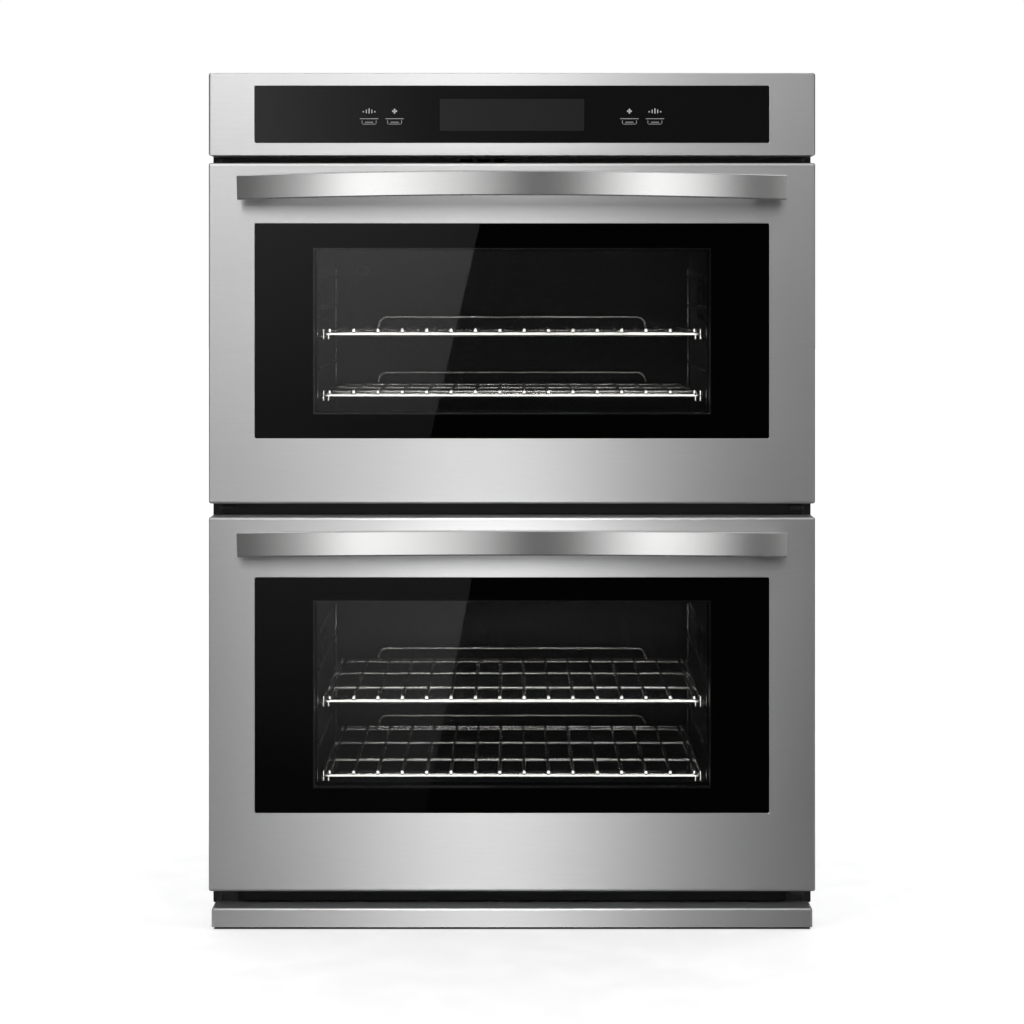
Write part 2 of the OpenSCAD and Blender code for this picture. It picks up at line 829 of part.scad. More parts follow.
// A close-wound extension spring with a hook plate at each end
module spring(o) {
  coil_r = 5;
  coils = 12;
  pitch = 6;
  z0 = door_z0(o) + 34;
  translate([hinge_x, axis_y + 2, z0])
    rotate_extrude() {
      area(coil_r - 1.5, coil_r + 0.5, 0, coils * pitch);
      for (i = [0:coils - 1])
        translate([coil_r, (i + 0.5) * pitch])
          circle(r = 2.7);
    }
  for (z = [z0 - 1.5, z0 + coils * pitch])
    box(hinge_x - 8.5, hinge_x + 8.5, axis_y - 3, axis_y + 7, z, z + 1.5);
}

module hinge_springs(o)
  color(steel)
    both_sides()
      spring(o);

module upper_door_skin() door_skin(UPPER);
module upper_door_glass() door_glass(UPPER);
module upper_door_panes() door_panes(UPPER);
module upper_door_liner() door_liner(UPPER);
module upper_door_wool() door_wool(UPPER);
module upper_handle() handle_bar(UPPER);
module upper_handle_posts() handle_posts(UPPER);
module upper_hinge_channels() hinge_channels(UPPER);
module upper_hinge_pins() hinge_pins(UPPER);
module upper_hinge_springs() hinge_springs(UPPER);
module lower_door_skin() door_skin(LOWER);
module lower_door_glass() door_glass(LOWER);
module lower_door_panes() door_panes(LOWER);
module lower_door_liner() door_liner(LOWER);
module lower_door_wool() door_wool(LOWER);
module lower_handle() handle_bar(LOWER);
module lower_handle_posts() handle_posts(LOWER);
module lower_hinge_channels() hinge_channels(LOWER);
module lower_hinge_pins() hinge_pins(LOWER);
module lower_hinge_springs() hinge_springs(LOWER);

front_frame();
side_panel_left();
side_panel_right();
top_cover();
back_panel();
base_pan();
decks();
bottom_vent_trim();
control_fascia();
control_glass();
display_module();
control_board();
control_tray();
power_board();
junction_box();
terminal_block();
wiring_harness();
blower_housing();
blower_motor();
blower_wheel();
upper_cavity();
lower_cavity();
insulation_blankets();
door_gaskets();
rack_ladders();
bake_elements();
broil_elements();
temperature_probes();
lamp_housings();
lamp_lenses();
hinge_receivers();
hinge_arms();
door_switches();
upper_switch_plunger();
lower_switch_plunger();
chassis_screws();
upper_oven_top_rack();
upper_oven_bottom_rack();
lower_oven_top_rack();
lower_oven_bottom_rack();
upper_door_skin();
upper_door_glass();
upper_door_panes();
upper_door_liner();
upper_door_wool();
upper_handle();
upper_handle_posts();
upper_hinge_channels();
upper_hinge_pins();
upper_hinge_springs();
lower_door_skin();
lower_door_glass();
lower_door_panes();
lower_door_liner();
lower_door_wool();
lower_handle();
lower_handle_posts();
lower_hinge_channels();
lower_hinge_pins();
lower_hinge_springs();
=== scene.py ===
# %% [markdown]
# # A double wall oven
# This lesson dresses a built-in double oven. The metalwork arrives as a finished frame of named
# parts, and each cell adds one piece or one finish. The frame is never moved: new pieces read
# their places from it, in metres, with the doors facing -Y and +Z up.

# %% Load the frame
import json
import math
import bmesh
import bpy
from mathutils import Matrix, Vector

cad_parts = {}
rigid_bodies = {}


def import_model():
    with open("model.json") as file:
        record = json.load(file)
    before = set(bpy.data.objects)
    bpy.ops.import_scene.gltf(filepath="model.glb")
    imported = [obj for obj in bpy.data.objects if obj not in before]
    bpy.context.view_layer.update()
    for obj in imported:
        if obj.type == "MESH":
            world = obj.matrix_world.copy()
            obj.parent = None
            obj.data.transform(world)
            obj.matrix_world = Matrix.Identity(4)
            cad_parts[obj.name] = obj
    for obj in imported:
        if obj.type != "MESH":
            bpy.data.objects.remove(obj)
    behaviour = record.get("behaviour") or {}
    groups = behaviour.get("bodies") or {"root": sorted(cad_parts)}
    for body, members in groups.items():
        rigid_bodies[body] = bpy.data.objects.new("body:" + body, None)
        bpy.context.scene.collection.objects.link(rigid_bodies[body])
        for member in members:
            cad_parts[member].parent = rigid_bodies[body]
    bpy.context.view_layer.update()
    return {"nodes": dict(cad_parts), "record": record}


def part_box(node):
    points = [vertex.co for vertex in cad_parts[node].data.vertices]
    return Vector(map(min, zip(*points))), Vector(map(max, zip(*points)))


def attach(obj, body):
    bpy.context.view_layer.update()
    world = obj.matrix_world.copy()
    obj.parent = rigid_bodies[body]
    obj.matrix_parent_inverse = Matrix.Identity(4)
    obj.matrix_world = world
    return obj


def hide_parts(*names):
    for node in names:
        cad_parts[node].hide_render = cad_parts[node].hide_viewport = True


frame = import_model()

nodes = frame["nodes"]

# %% [markdown]
# ## Measures
# Every place below comes from the frame. The glass is clamped behind the folded steel, so the
# opening that shows is smaller than the glass by the width of that hidden margin. The innermost
# panes reach past the clear window by a known lap in the same way.

# %% Measures read from the frame
MM = 0.001
LEVELS = ("upper", "lower")
GLASS_MARGIN = 8 * MM
PANE_LAP = 24 * MM
SHEET = 1.2 * MM


def rectangle(node, margin):
    """Lowest and highest corner of a part's front, drawn in by a margin in x and z."""
    low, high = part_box(node)
    shrink = Vector((margin, 0, margin))
    return low + shrink, high - shrink


opening = {level: rectangle(f"{level}_door_glass", GLASS_MARGIN) for level in LEVELS}
opening["fascia"] = rectangle("control_glass", GLASS_MARGIN)
window = {level: rectangle(f"{level}_door_panes", PANE_LAP) for level in LEVELS}
skin = {level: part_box(f"{level}_door_skin") for level in LEVELS}
front_y = skin["upper"][0].y
for level in LEVELS:
    low, high = window[level]
    print(level, "window", round((high.x - low.x) / MM), "by", round((high.z - low.z) / MM), "mm")

# %% [markdown]
# ## Small helpers
# An operator acts on whatever is selected, and the frame arrives selected, so each helper clears
# the selection first. Faces and edges are then chosen in code, by their place or their normal.


# %% Modelling helpers
def deselect():
    bpy.ops.object.select_all(action="DESELECT")


def only(piece):
    """Makes one piece the only selected and active object."""
    deselect()
    bpy.context.view_layer.objects.active = piece
    piece.select_set(True)


def named(name):
    """Names the piece that an operator has just made and puts its place in its mesh."""
    piece = bpy.context.active_object
    piece.name = name
    piece.data.name = name
    bpy.ops.object.transform_apply(location=True, rotation=True, scale=True)
    return piece


def block(name, low, high):
    """A box between two corners."""
    deselect()
    low, high = Vector(low), Vector(high)
    bpy.ops.mesh.primitive_cube_add(size=1, location=(low + high) / 2, scale=high - low)
    return named(name)


def round_bar(name, centre, radius, length, axis="Z", sides=24):
    """A cylinder along one axis."""
    turn = {"X": (0, math.pi / 2, 0), "Y": (math.pi / 2, 0, 0), "Z": (0, 0, 0)}[axis]
    deselect()
    bpy.ops.mesh.primitive_cylinder_add(
        vertices=sides, radius=radius, depth=length, location=centre, rotation=turn)
    return named(name)


def edit(piece, kind, chosen):
    """Opens a piece in edit mode with only the faces or edges that pass a test selected."""
    only(piece)
    bpy.ops.object.mode_set(mode="EDIT")
    bpy.ops.mesh.select_mode(type=kind)
    bpy.ops.mesh.select_all(action="DESELECT")
    mesh = bmesh.from_edit_mesh(piece.data)
    for item in mesh.faces if kind == "FACE" else mesh.edges:
        item.select_set(bool(chosen(item)))
    mesh.select_flush_mode()
    bmesh.update_edit_mesh(piece.data)


def done():
    """Leaves edit mode."""
    bpy.ops.object.mode_set(mode="OBJECT")


def middle(edge):
    return (edge.verts[0].co + edge.verts[1].co) / 2


def along(edge, axis):
    """True when an edge runs along one axis, 0, 1 or 2."""
    run = edge.verts[1].co - edge.verts[0].co
    return abs(run[axis]) > 0.999 * run.length


def near(a, b, slack=1e-5):
    return abs(a - b) < slack


def remove_faces(piece, chosen):
    edit(piece, "FACE", chosen)
    bpy.ops.mesh.delete(type="FACE")
    done()


def bevel_edges(piece, chosen, width, segments=3):
    edit(piece, "EDGE", chosen)
    bpy.ops.mesh.bevel(offset=width, segments=segments, affect="EDGES")
    done()


def modify(piece, kind, **settings):
    """Adds one modifier and applies it at once."""
    only(piece)
    bpy.ops.object.modifier_add(type=kind)
    modifier = piece.modifiers[-1]
    for key, value in settings.items():
        setattr(modifier, key, value)
    bpy.ops.object.modifier_apply(modifier=modifier.name)


def cut(piece, cutter):
    """Takes one piece out of another and throws the cutter away."""
    modify(piece, "BOOLEAN", operation="DIFFERENCE", object=cutter, solver="EXACT")
    bpy.data.objects.remove(cutter)


def join(pieces, name):
    """Joins pieces into one object with one mesh."""
    only(pieces[0])
    for piece in pieces:
        piece.select_set(True)
    bpy.ops.object.join()
    return named(name)


def repeated(piece, shifts, name):
    """Copies a piece, mesh and all, to each shift and joins the copies into one."""
    copies = []
    for shift in shifts:
        only(piece)
        bpy.ops.object.duplicate(linked=False)
        bpy.ops.transform.translate(value=shift)
        copies.append(bpy.context.active_object)
    bpy.data.objects.remove(piece)
    return join(copies, name)


def ring(name, low, high, hole_low, hole_high):
    """A plate that lies across Y with a rectangular hole through it."""
    plate = block(name, low, high)
    hole = block("hole", (hole_low.x, low.y - 0.01, hole_low.z),
                 (hole_high.x, high.y + 0.01, hole_high.z))
    cut(plate, hole)
    return plate


def smooth(piece, degrees=30):
    """Smooth shading that keeps wide faces flat and lets only the narrow bevels turn."""
    only(piece)
    bpy.ops.object.shade_smooth_by_angle(angle=math.radians(degrees))
    modify(piece, "WEIGHTED_NORMAL", keep_sharp=True, weight=100)


def finish(piece, body, material, stands_for=None):
    """Gives a piece its material and its body, and hides the frame part that it stands for."""
    piece.data.materials.clear()
    piece.data.materials.append(material)
    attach(piece, body)
    if stands_for:
        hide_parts(stands_for)
    print(piece.name, len(piece.data.polygons), "faces on", body)


# %% [markdown]
# ## Shared effects for the finishes
# Real surfaces vary: sheet metal has grain, edges are worn bright, and glass and steel carry faint
# smears. Each effect is built once as a node group that puts out a mask or a height, and every
# material places it with its own values. The shader itself stays in the material.


# %% Node helpers
def node(tree, kind, links=None, **settings):
    """Adds a node, sets its properties, and fills its inputs with values or links."""
    made = tree.nodes.new(kind)
    for key, value in settings.items():
        setattr(made, key, value)
    for key, value in (links or {}).items():
        if isinstance(value, bpy.types.NodeSocket):
            tree.links.new(value, made.inputs[key])
        else:
            made.inputs[key].default_value = value
    return made


def effect(name, inputs, outputs):
    """An empty node group with named inputs and outputs, and its two end nodes."""
    tree = bpy.data.node_groups.new(name, "ShaderNodeTree")
    for label, value in inputs.items():
        kind = "NodeSocketVector" if isinstance(value, tuple) else "NodeSocketFloat"
        tree.interface.new_socket(label, in_out="INPUT", socket_type=kind).default_value = value
    for label in outputs:
        tree.interface.new_socket(label, in_out="OUTPUT", socket_type="NodeSocketFloat")
    return tree, tree.nodes.new("NodeGroupInput"), tree.nodes.new("NodeGroupOutput")


def math_node(tree, operation, first, second, clamp=False):
    made = node(tree, "ShaderNodeMath", {0: first, 1: second}, operation=operation)
    made.use_clamp = clamp
    return made.outputs[0]


# %% Grain: noise stretched by a vector, for brushing, rolling marks and castings
grain, start, end = effect("grain", {"Stretch": (1.0, 1.0, 1.0), "Contrast": 1.0}, ["Height"])
place = node(grain, "ShaderNodeTexCoord").outputs["Object"]
scaled = node(grain, "ShaderNodeVectorMath", {0: place, 1: start.outputs["Stretch"]},
              operation="MULTIPLY").outputs[0]
noise = node(grain, "ShaderNodeTexNoise", {"Vector": scaled, "Scale": 1.0, "Detail": 5.0,
                                           "Roughness": 0.62}).outputs["Fac"]
centred = math_node(grain, "SUBTRACT", noise, 0.5)
spread = math_node(grain, "MULTIPLY", centred, start.outputs["Contrast"])
grain.links.new(math_node(grain, "ADD", spread, 0.5, clamp=True), end.inputs["Height"])

# %% Edge wear: bright where the surface turns within a small radius, broken up by noise
edge_wear, start, end = effect("edge_wear", {"Strength": 1.0}, ["Mask"])
rounded = node(edge_wear, "ShaderNodeBevel", {"Radius": 0.0012}, samples=4).outputs["Normal"]
plain = node(edge_wear, "ShaderNodeNewGeometry").outputs["Normal"]
likeness = node(edge_wear, "ShaderNodeVectorMath", {0: rounded, 1: plain},
                operation="DOT_PRODUCT").outputs["Value"]
turn = math_node(edge_wear, "MULTIPLY", math_node(edge_wear, "SUBTRACT", 1.0, likeness), 5.0)
place = node(edge_wear, "ShaderNodeTexCoord").outputs["Object"]
broken = node(edge_wear, "ShaderNodeTexNoise", {"Vector": place, "Scale": 90.0,
                                                "Detail": 3.0}).outputs["Fac"]
worn = math_node(edge_wear, "MULTIPLY", turn, math_node(edge_wear, "ADD", broken, 0.35))
edge_wear.links.new(math_node(edge_wear, "MULTIPLY", worn, start.outputs["Strength"], clamp=True),
                    end.inputs["Mask"])

# %% Smears: broad soft patches of handling and dust
smears, start, end = effect("smears", {"Size": 6.0, "Amount": 0.3}, ["Mask"])
place = node(smears, "ShaderNodeTexCoord").outputs["Object"]
broad = node(smears, "ShaderNodeTexNoise", {"Vector": place, "Scale": start.outputs["Size"],
                                            "Detail": 4.0, "Distortion": 0.6}).outputs["Fac"]
patch = node(smears, "ShaderNodeMapRange", {"Value": broad, "From Min": 0.42, "From Max": 0.72})
smears.links.new(math_node(smears, "MULTIPLY", patch.outputs["Result"], start.outputs["Amount"]),
                 end.inputs["Mask"])

# %% Flecks: small cells, for enamel speckle and zinc spangle
flecks, start, end = effect("flecks", {"Size": 400.0}, ["Cell", "Dot"])
place = node(flecks, "ShaderNodeTexCoord").outputs["Object"]
cells = node(flecks, "ShaderNodeTexVoronoi", {"Vector": place, "Scale": start.outputs["Size"]})
split = node(flecks, "ShaderNodeSeparateColor", {"Color": cells.outputs["Color"]})
flecks.links.new(split.outputs["Red"], end.inputs["Cell"])
dot = node(flecks, "ShaderNodeMapRange", {"Value": cells.outputs["Distance"], "From Min": 0.28,
                                          "From Max": 0.16})
flecks.links.new(dot.outputs["Result"], end.inputs["Dot"])
print("effects:", [tree.name for tree in (grain, edge_wear, smears, flecks)])

# %% [markdown]
# ## Building one finish
# Each finish is a Principled shader. A value that is the same all over is set on the shader's own
# socket, and only colours and masks that vary are linked to it.


# %% Material helpers
def tone(color, factor, lift=0.0):
    """A colour made lighter or darker."""
    return tuple(min(1.0, factor * c + lift) for c in color)


class Finish:
    """A material with its Principled shader and shortcuts for the shared effects."""

    def __init__(self, name, color, roughness, metallic=0.0, **constants):
        self.material = bpy.data.materials.new(name)
        self.material.use_nodes = True
        self.tree = self.material.node_tree
        self.shader = self.tree.nodes["Principled BSDF"]
        self.set("Base Color", (*color, 1.0))
        self.set("Roughness", roughness)
        self.set("Metallic", metallic)
        for key, value in constants.items():
            self.set(key.replace("_", " "), value)

    def set(self, socket, value):
        self.shader.inputs[socket].default_value = value

    def link(self, output, socket):
        self.tree.links.new(output, self.shader.inputs[socket])

    def effect(self, tree, output, **values):
        """Places a shared effect with its own values and returns one of its outputs."""
        made = self.tree.nodes.new("ShaderNodeGroup")
        made.node_tree = tree
        for key, value in values.items():
            made.inputs[key].default_value = value
        return made.outputs[output]

    def between(self, factor, low, high):
        """Turns a 0 to 1 mask into a value between two limits."""
        limits = {"Value": factor, "To Min": low, "To Max": high}
        return node(self.tree, "ShaderNodeMapRange", limits).outputs["Result"]

    def mix(self, factor, first, second):
        """Mixes two colours, each a triple or another colour output."""
        made = self.tree.nodes.new("ShaderNodeMix")
        made.data_type = "RGBA"
        self.tree.links.new(factor, made.inputs["Factor"])
        for socket, value in ((made.inputs[6], first), (made.inputs[7], second)):
            if isinstance(value, bpy.types.NodeSocket):
                self.tree.links.new(value, socket)
            else:
                socket.default_value = (*value, 1.0)
        return made.outputs[2]

    def bump(self, height, distance, strength=1.0):
        made = node(self.tree, "ShaderNodeBump", {"Height": height, "Distance": distance,
                                                  "Strength": strength})
        self.link(made.outputs["Normal"], "Normal")


# %% [markdown]
# ## Brushed stainless steel
# The sheet is brushed from side to side, so its scratches run along X and a light smears into an
# upright band. Anisotropy gives that smear, with a tangent along the sheet, and a very long thin
# grain gives the scratches themselves. The same recipe, tighter and glossier, suits the handles.


# %% Stainless finishes
def brushed(name, color, roughness, across, depth, anisotropy=0.8):
    """Steel brushed along X, with scratches `across` to the metre in z and y."""
    steel = Finish(name, color, roughness, 1.0, Anisotropic=anisotropy, Anisotropic_Rotation=0.25)
    steel.link(node(steel.tree, "ShaderNodeCombineXYZ", {"X": 1.0}).outputs["Vector"], "Tangent")
    fine = steel.effect(grain, "Height", Stretch=(26.0, across, across), Contrast=1.6)
    broad = steel.effect(grain, "Height", Stretch=(6.0, across * 0.3, across * 0.3), Contrast=1.2)
    worn = steel.effect(edge_wear, "Mask", Strength=0.6)
    smeared = steel.effect(smears, "Mask", Size=5.0, Amount=0.5)
    toned = steel.mix(fine, tone(color, 0.93), tone(color, 1.05))
    steel.link(steel.mix(worn, toned, (0.86, 0.86, 0.86)), "Base Color")
    varied = steel.between(broad, roughness - 0.02, roughness + 0.02)
    handled = math_node(steel.tree, "ADD", varied, steel.between(smeared, 0.0, 0.03))
    steel.link(handled, "Roughness")
    steel.bump(fine, depth)
    return steel.material


stainless = brushed("brushed_stainless", (0.66, 0.66, 0.66), 0.3, 2600.0, 0.00001, 0.9)
handle_steel = brushed("handle_stainless", (0.72, 0.72, 0.715), 0.18, 3200.0, 0.000006)
trim_steel = brushed("rolled_steel_edge", (0.8, 0.8, 0.8), 0.2, 2000.0, 0.000004, 0.3)

# %% [markdown]
# ## Coated and plated sheet
# The frame behind the doors is satin black, the chassis is zinc-coated sheet with its spangle, and
# the oven linings are dark porcelain enamel with pale specks fired into it.


# %% Sheet finishes
def painted(name, color, roughness, grain_size=900.0, texture=0.00002, coat=0.0):
    paint = Finish(name, color, roughness, 0.0, Coat_Weight=coat, Coat_Roughness=0.15)
    peel = paint.effect(grain, "Height", Stretch=(grain_size,) * 3, Contrast=1.2)
    worn = paint.effect(edge_wear, "Mask", Strength=0.35)
    smeared = paint.effect(smears, "Mask", Size=9.0, Amount=0.6)
    dusty = paint.mix(smeared, color, tone(color, 1.25, 0.006))
    paint.link(paint.mix(worn, dusty, tone(color, 2.2, 0.02)), "Base Color")
    paint.link(paint.between(peel, roughness - 0.06, roughness + 0.08), "Roughness")
    paint.bump(peel, texture)
    return paint.material


def spangled(name, color, roughness):
    zinc = Finish(name, color, roughness, 1.0)
    crystal = zinc.effect(flecks, "Cell", Size=190.0)
    rolling = zinc.effect(grain, "Height", Stretch=(30.0, 30.0, 900.0), Contrast=1.0)
    worn = zinc.effect(edge_wear, "Mask", Strength=0.4)
    toned = zinc.mix(crystal, tone(color, 0.93), tone(color, 1.06))
    zinc.link(zinc.mix(worn, toned, (0.85, 0.86, 0.87)), "Base Color")
    zinc.link(zinc.between(crystal, roughness - 0.03, roughness + 0.05), "Roughness")
    zinc.bump(rolling, 0.00001)
    return zinc.material


def enamelled(name, color, speck, roughness):
    enamel = Finish(name, color, roughness, 0.0, Coat_Weight=0.4, Coat_Roughness=0.12)
    spots = enamel.effect(flecks, "Dot", Size=520.0)
    peel = enamel.effect(grain, "Height", Stretch=(260.0,) * 3, Contrast=1.4)
    smoked = enamel.effect(smears, "Mask", Size=7.0, Amount=0.8)
    base = enamel.mix(smoked, color, tone(color, 0.55))
    enamel.link(enamel.mix(spots, base, speck), "Base Color")
    enamel.link(enamel.between(peel, roughness - 0.08, roughness + 0.12), "Roughness")
    enamel.bump(peel, 0.00006)
    return enamel.material


black_sheet = painted("satin_black_sheet", (0.012, 0.012, 0.013), 0.42)
galvanised = spangled("zinc_coated_sheet", (0.62, 0.63, 0.64), 0.42)
oven_enamel = enamelled("porcelain_enamel", (0.020, 0.021, 0.024), (0.12, 0.12, 0.13), 0.38)
motor_paint = painted("motor_paint", (0.10, 0.10, 0.11), 0.5)

# %% [markdown]
# ## Wire, rods and small hardware
# The racks are nickel-plated wire, smooth and bright, with a little brown from heat. The heating
# rods are oxidised, almost black. Screws, pins and springs are dull zinc plate.


# %% Wire and hardware finishes
def plated(name, color, stained, roughness, stain=0.5):
    metal = Finish(name, color, roughness, 1.0)
    heat = metal.effect(smears, "Mask", Size=22.0, Amount=stain)
    drawn = metal.effect(grain, "Height", Stretch=(700.0,) * 3, Contrast=1.0)
    worn = metal.effect(edge_wear, "Mask", Strength=0.3)
    toned = metal.mix(heat, color, stained)
    metal.link(metal.mix(worn, toned, tone(color, 1.2)), "Base Color")
    metal.link(metal.between(drawn, roughness - 0.05, roughness + 0.08), "Roughness")
    metal.bump(drawn, 0.000008)
    return metal.material


rack_wire = plated("nickel_plated_wire", (0.80, 0.79, 0.77), (0.46, 0.42, 0.37), 0.14)
heater_rod = plated("oxidised_heater_rod", (0.11, 0.10, 0.095), (0.22, 0.17, 0.14), 0.46)
zinc_plate = plated("zinc_plated_hardware", (0.60, 0.61, 0.62), (0.42, 0.41, 0.38), 0.34)
dark_steel = plated("dark_cast_post", (0.42, 0.42, 0.42), (0.28, 0.28, 0.28), 0.32)

# %% [markdown]
# ## Plastics, rubber, ceramic and glass wool
# These sit inside the chassis or in the door gap. Each still gets its own grain: moulded plastic
# has a fine leather texture, glass wool has fibres, and the circuit boards carry copper tracks
# under green lacquer.


# %% Moulded and fibrous finishes
def moulded(name, color, roughness, texture=0.00003):
    plastic = Finish(name, color, roughness, 0.0)
    pores = plastic.effect(grain, "Height", Stretch=(1400.0,) * 3, Contrast=1.5)
    smeared = plastic.effect(smears, "Mask", Size=14.0, Amount=0.5)
    plastic.link(plastic.mix(smeared, color, tone(color, 1.3, 0.01)), "Base Color")
    plastic.link(plastic.between(pores, roughness - 0.06, roughness + 0.08), "Roughness")
    plastic.bump(pores, texture)
    return plastic.material


def fibrous(name, color, shade, stretch, depth):
    wool = Finish(name, color, 0.95, 0.0)
    strand = wool.effect(grain, "Height", Stretch=stretch, Contrast=2.4)
    clump = wool.effect(smears, "Mask", Size=30.0, Amount=0.8)
    wool.link(wool.mix(clump, wool.mix(strand, shade, color), shade), "Base Color")
    wool.link(wool.between(strand, 0.85, 1.0), "Roughness")
    wool.bump(strand, depth)
    return wool.material


def tracked(name, lacquer, copper):
    board = Finish(name, lacquer, 0.38, 0.0)
    pads = board.effect(flecks, "Dot", Size=240.0)
    tracks = board.effect(grain, "Height", Stretch=(60.0, 420.0, 420.0), Contrast=5.0)
    drawn = board.mix(tracks, lacquer, tone(lacquer, 1.7))
    board.link(board.mix(pads, drawn, copper), "Base Color")
    board.link(board.between(tracks, 0.32, 0.46), "Roughness")
    board.bump(tracks, 0.00008)
    return board.material


black_plastic = moulded("black_moulded_plastic", (0.02, 0.02, 0.021), 0.46)
pale_plastic = moulded("pale_moulded_plastic", (0.62, 0.61, 0.57), 0.32, 0.00001)
ceramic = moulded("terminal_ceramic", (0.74, 0.71, 0.62), 0.62)
glass_wool = fibrous("glass_wool", (0.80, 0.74, 0.50), (0.55, 0.47, 0.27),
                     (90.0, 300.0, 900.0), 0.0006)
gasket_braid = fibrous("gasket_braid", (0.055, 0.055, 0.057), (0.02, 0.02, 0.02), (700.0,) * 3,
                       0.0003)
cable_sleeve = fibrous("cable_sleeve", (0.55, 0.53, 0.48), (0.33, 0.32, 0.29), (500.0,) * 3,
                       0.0002)
circuit_board = tracked("circuit_board", (0.015, 0.085, 0.035), (0.70, 0.50, 0.20))


# %% [markdown]
# ## Glass
# The doors carry a grey-tinted outer pane printed black round its edge, and clear panes inside.
# Real glass is a solid block here, so light bends through it, and its constants stay on the shader.


# %% Glass finishes
def glazed(name, tint, roughness=0.0, level=0.5):
    glass = Finish(name, tint, roughness, 0.0, Transmission_Weight=1.0, IOR=1.5,
                   Specular_IOR_Level=level)
    smeared = glass.effect(smears, "Mask", Size=4.0, Amount=0.5)
    glass.link(glass.between(smeared, roughness, roughness + 0.03), "Roughness")
    glass.link(glass.mix(smeared, tint, tone(tint, 0.97)), "Base Color")
    return glass.material


door_glass = glazed("tinted_door_glass", (0.66, 0.66, 0.66))
clear_glass = glazed("clear_pane_glass", (0.94, 0.945, 0.94), level=0.05)
lamp_glass = glazed("ribbed_lamp_glass", (0.86, 0.88, 0.88), 0.18)
print("finishes:", len(bpy.data.materials))

# %% [markdown]
# ## The frame's own parts
# Most parts already have the right shape and only need their finish. Each part's finish follows
# the slot that the frame's record gives it.

# %% Finishes by slot
BY_SLOT = {
    "stainless": stainless, "dark_steel": dark_steel, "black_enamel_sheet": black_sheet,
    "galvanised": galvanised, "black_glass": door_glass, "clear_glass": clear_glass,
    "display": black_plastic, "circuit_board": circuit_board, "terminal_ceramic": ceramic,
    "cable_jacket": cable_sleeve, "motor_paint": motor_paint, "wheel_plastic": black_plastic,
    "oven_enamel": oven_enamel, "insulation": glass_wool, "gasket": gasket_braid,
    "chromed_wire": rack_wire, "heater_sheath": heater_rod, "switch_plastic": black_plastic,
    "plunger_plastic": pale_plastic, "hardware_steel": zinc_plate,
}
for part in frame["record"]["subparts"]:
    mesh = nodes[part["node"]].data
    mesh.materials.clear()
    mesh.materials.append(BY_SLOT[part["material_slot"]])
nodes["lamp_lenses"].data.materials[0] = lamp_glass
nodes["temperature_probes"].data.materials[0] = heater_rod

# %% [markdown]
# ## Folded fronts
# A door front is one sheet folded back on four sides, with a hole cut for the glass. Its charm is
# in the soft folds and the bright cut edge, so it is modelled as a box with its back removed. The
# front is inset, the new face is scaled to the hole, and the folds are bevelled.


# %% Folded pan
FOLD = 3.0 * MM
HOLE_CORNER = 2.2 * MM
LIP = 0.9 * MM


def folded(edge):
    """True when two faces meet at an edge at an angle."""
    return len(edge.link_faces) == 2 and edge.calc_face_angle() > 0.5


def folded_pan(name, low, high, hole_low, hole_high):
    pan = block(name, low, high)
    remove_faces(pan, lambda face: face.normal.y > 0.9)
    edit(pan, "FACE", lambda face: face.normal.y < -0.9)
    border = 10 * MM
    bpy.ops.mesh.inset(thickness=border, depth=0)
    centre = (low + high) / 2
    target = (hole_low + hole_high) / 2
    bpy.ops.transform.resize(
        value=((hole_high.x - hole_low.x) / (high.x - low.x - 2 * border), 1,
               (hole_high.z - hole_low.z) / (high.z - low.z - 2 * border)),
        center_override=(centre.x, low.y, centre.z))
    bpy.ops.transform.translate(value=(target.x - centre.x, 0, target.z - centre.z))
    bpy.ops.mesh.extrude_region_move(TRANSFORM_OT_translate={"value": (0, SHEET, 0)})
    bpy.ops.mesh.delete(type="FACE")
    done()

    def on_hole(edge):
        spot = middle(edge)
        inside_x = hole_low.x - SHEET < spot.x < hole_high.x + SHEET
        inside_z = hole_low.z - SHEET < spot.z < hole_high.z + SHEET
        return inside_x and inside_z

    def in_front(edge):
        return near(middle(edge).y, low.y)

    bevel_edges(pan, lambda edge: along(edge, 1) and on_hole(edge), HOLE_CORNER, 5)
    bevel_edges(pan, lambda edge: folded(edge) and not on_hole(edge)
                and (along(edge, 1) or in_front(edge)), FOLD, 5)
    bevel_edges(pan, lambda edge: folded(edge) and on_hole(edge) and in_front(edge), LIP, 3)
    modify(pan, "SOLIDIFY", thickness=SHEET * 0.9, offset=-1)
    return pan


# %% Door fronts, notched under each hinge arm, and the control fascia
for level in LEVELS:
    low, high = skin[level]
    front = folded_pan(f"{level}_door_front", low, high, *opening[level])
    arm_low, arm_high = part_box("hinge_arms")
    for side in (-1, 1):
        hinge_x = side * (arm_high.x - 3 * MM)
        notch = block("notch", (hinge_x - 5 * MM, low.y + 9 * MM, low.z - 5 * MM),
                      (hinge_x + 5 * MM, high.y + 5 * MM, low.z + 6 * MM))
        cut(front, notch)
    smooth(front)
    finish(front, f"{level}_door", stainless, f"{level}_door_skin")

low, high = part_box("control_fascia")
fascia = folded_pan("control_fascia_front", low, high, *opening["fascia"])
smooth(fascia)
finish(fascia, "chassis", stainless, "control_fascia")

# %% [markdown]
# ## Printed glass
# The black border is ceramic ink fired onto the back of the outer pane, so it lies just behind the
# glass and ends in a crisp line round the window. A thin flat ring does that job. The control
# glass has the same print, with a clear patch in front of the display.

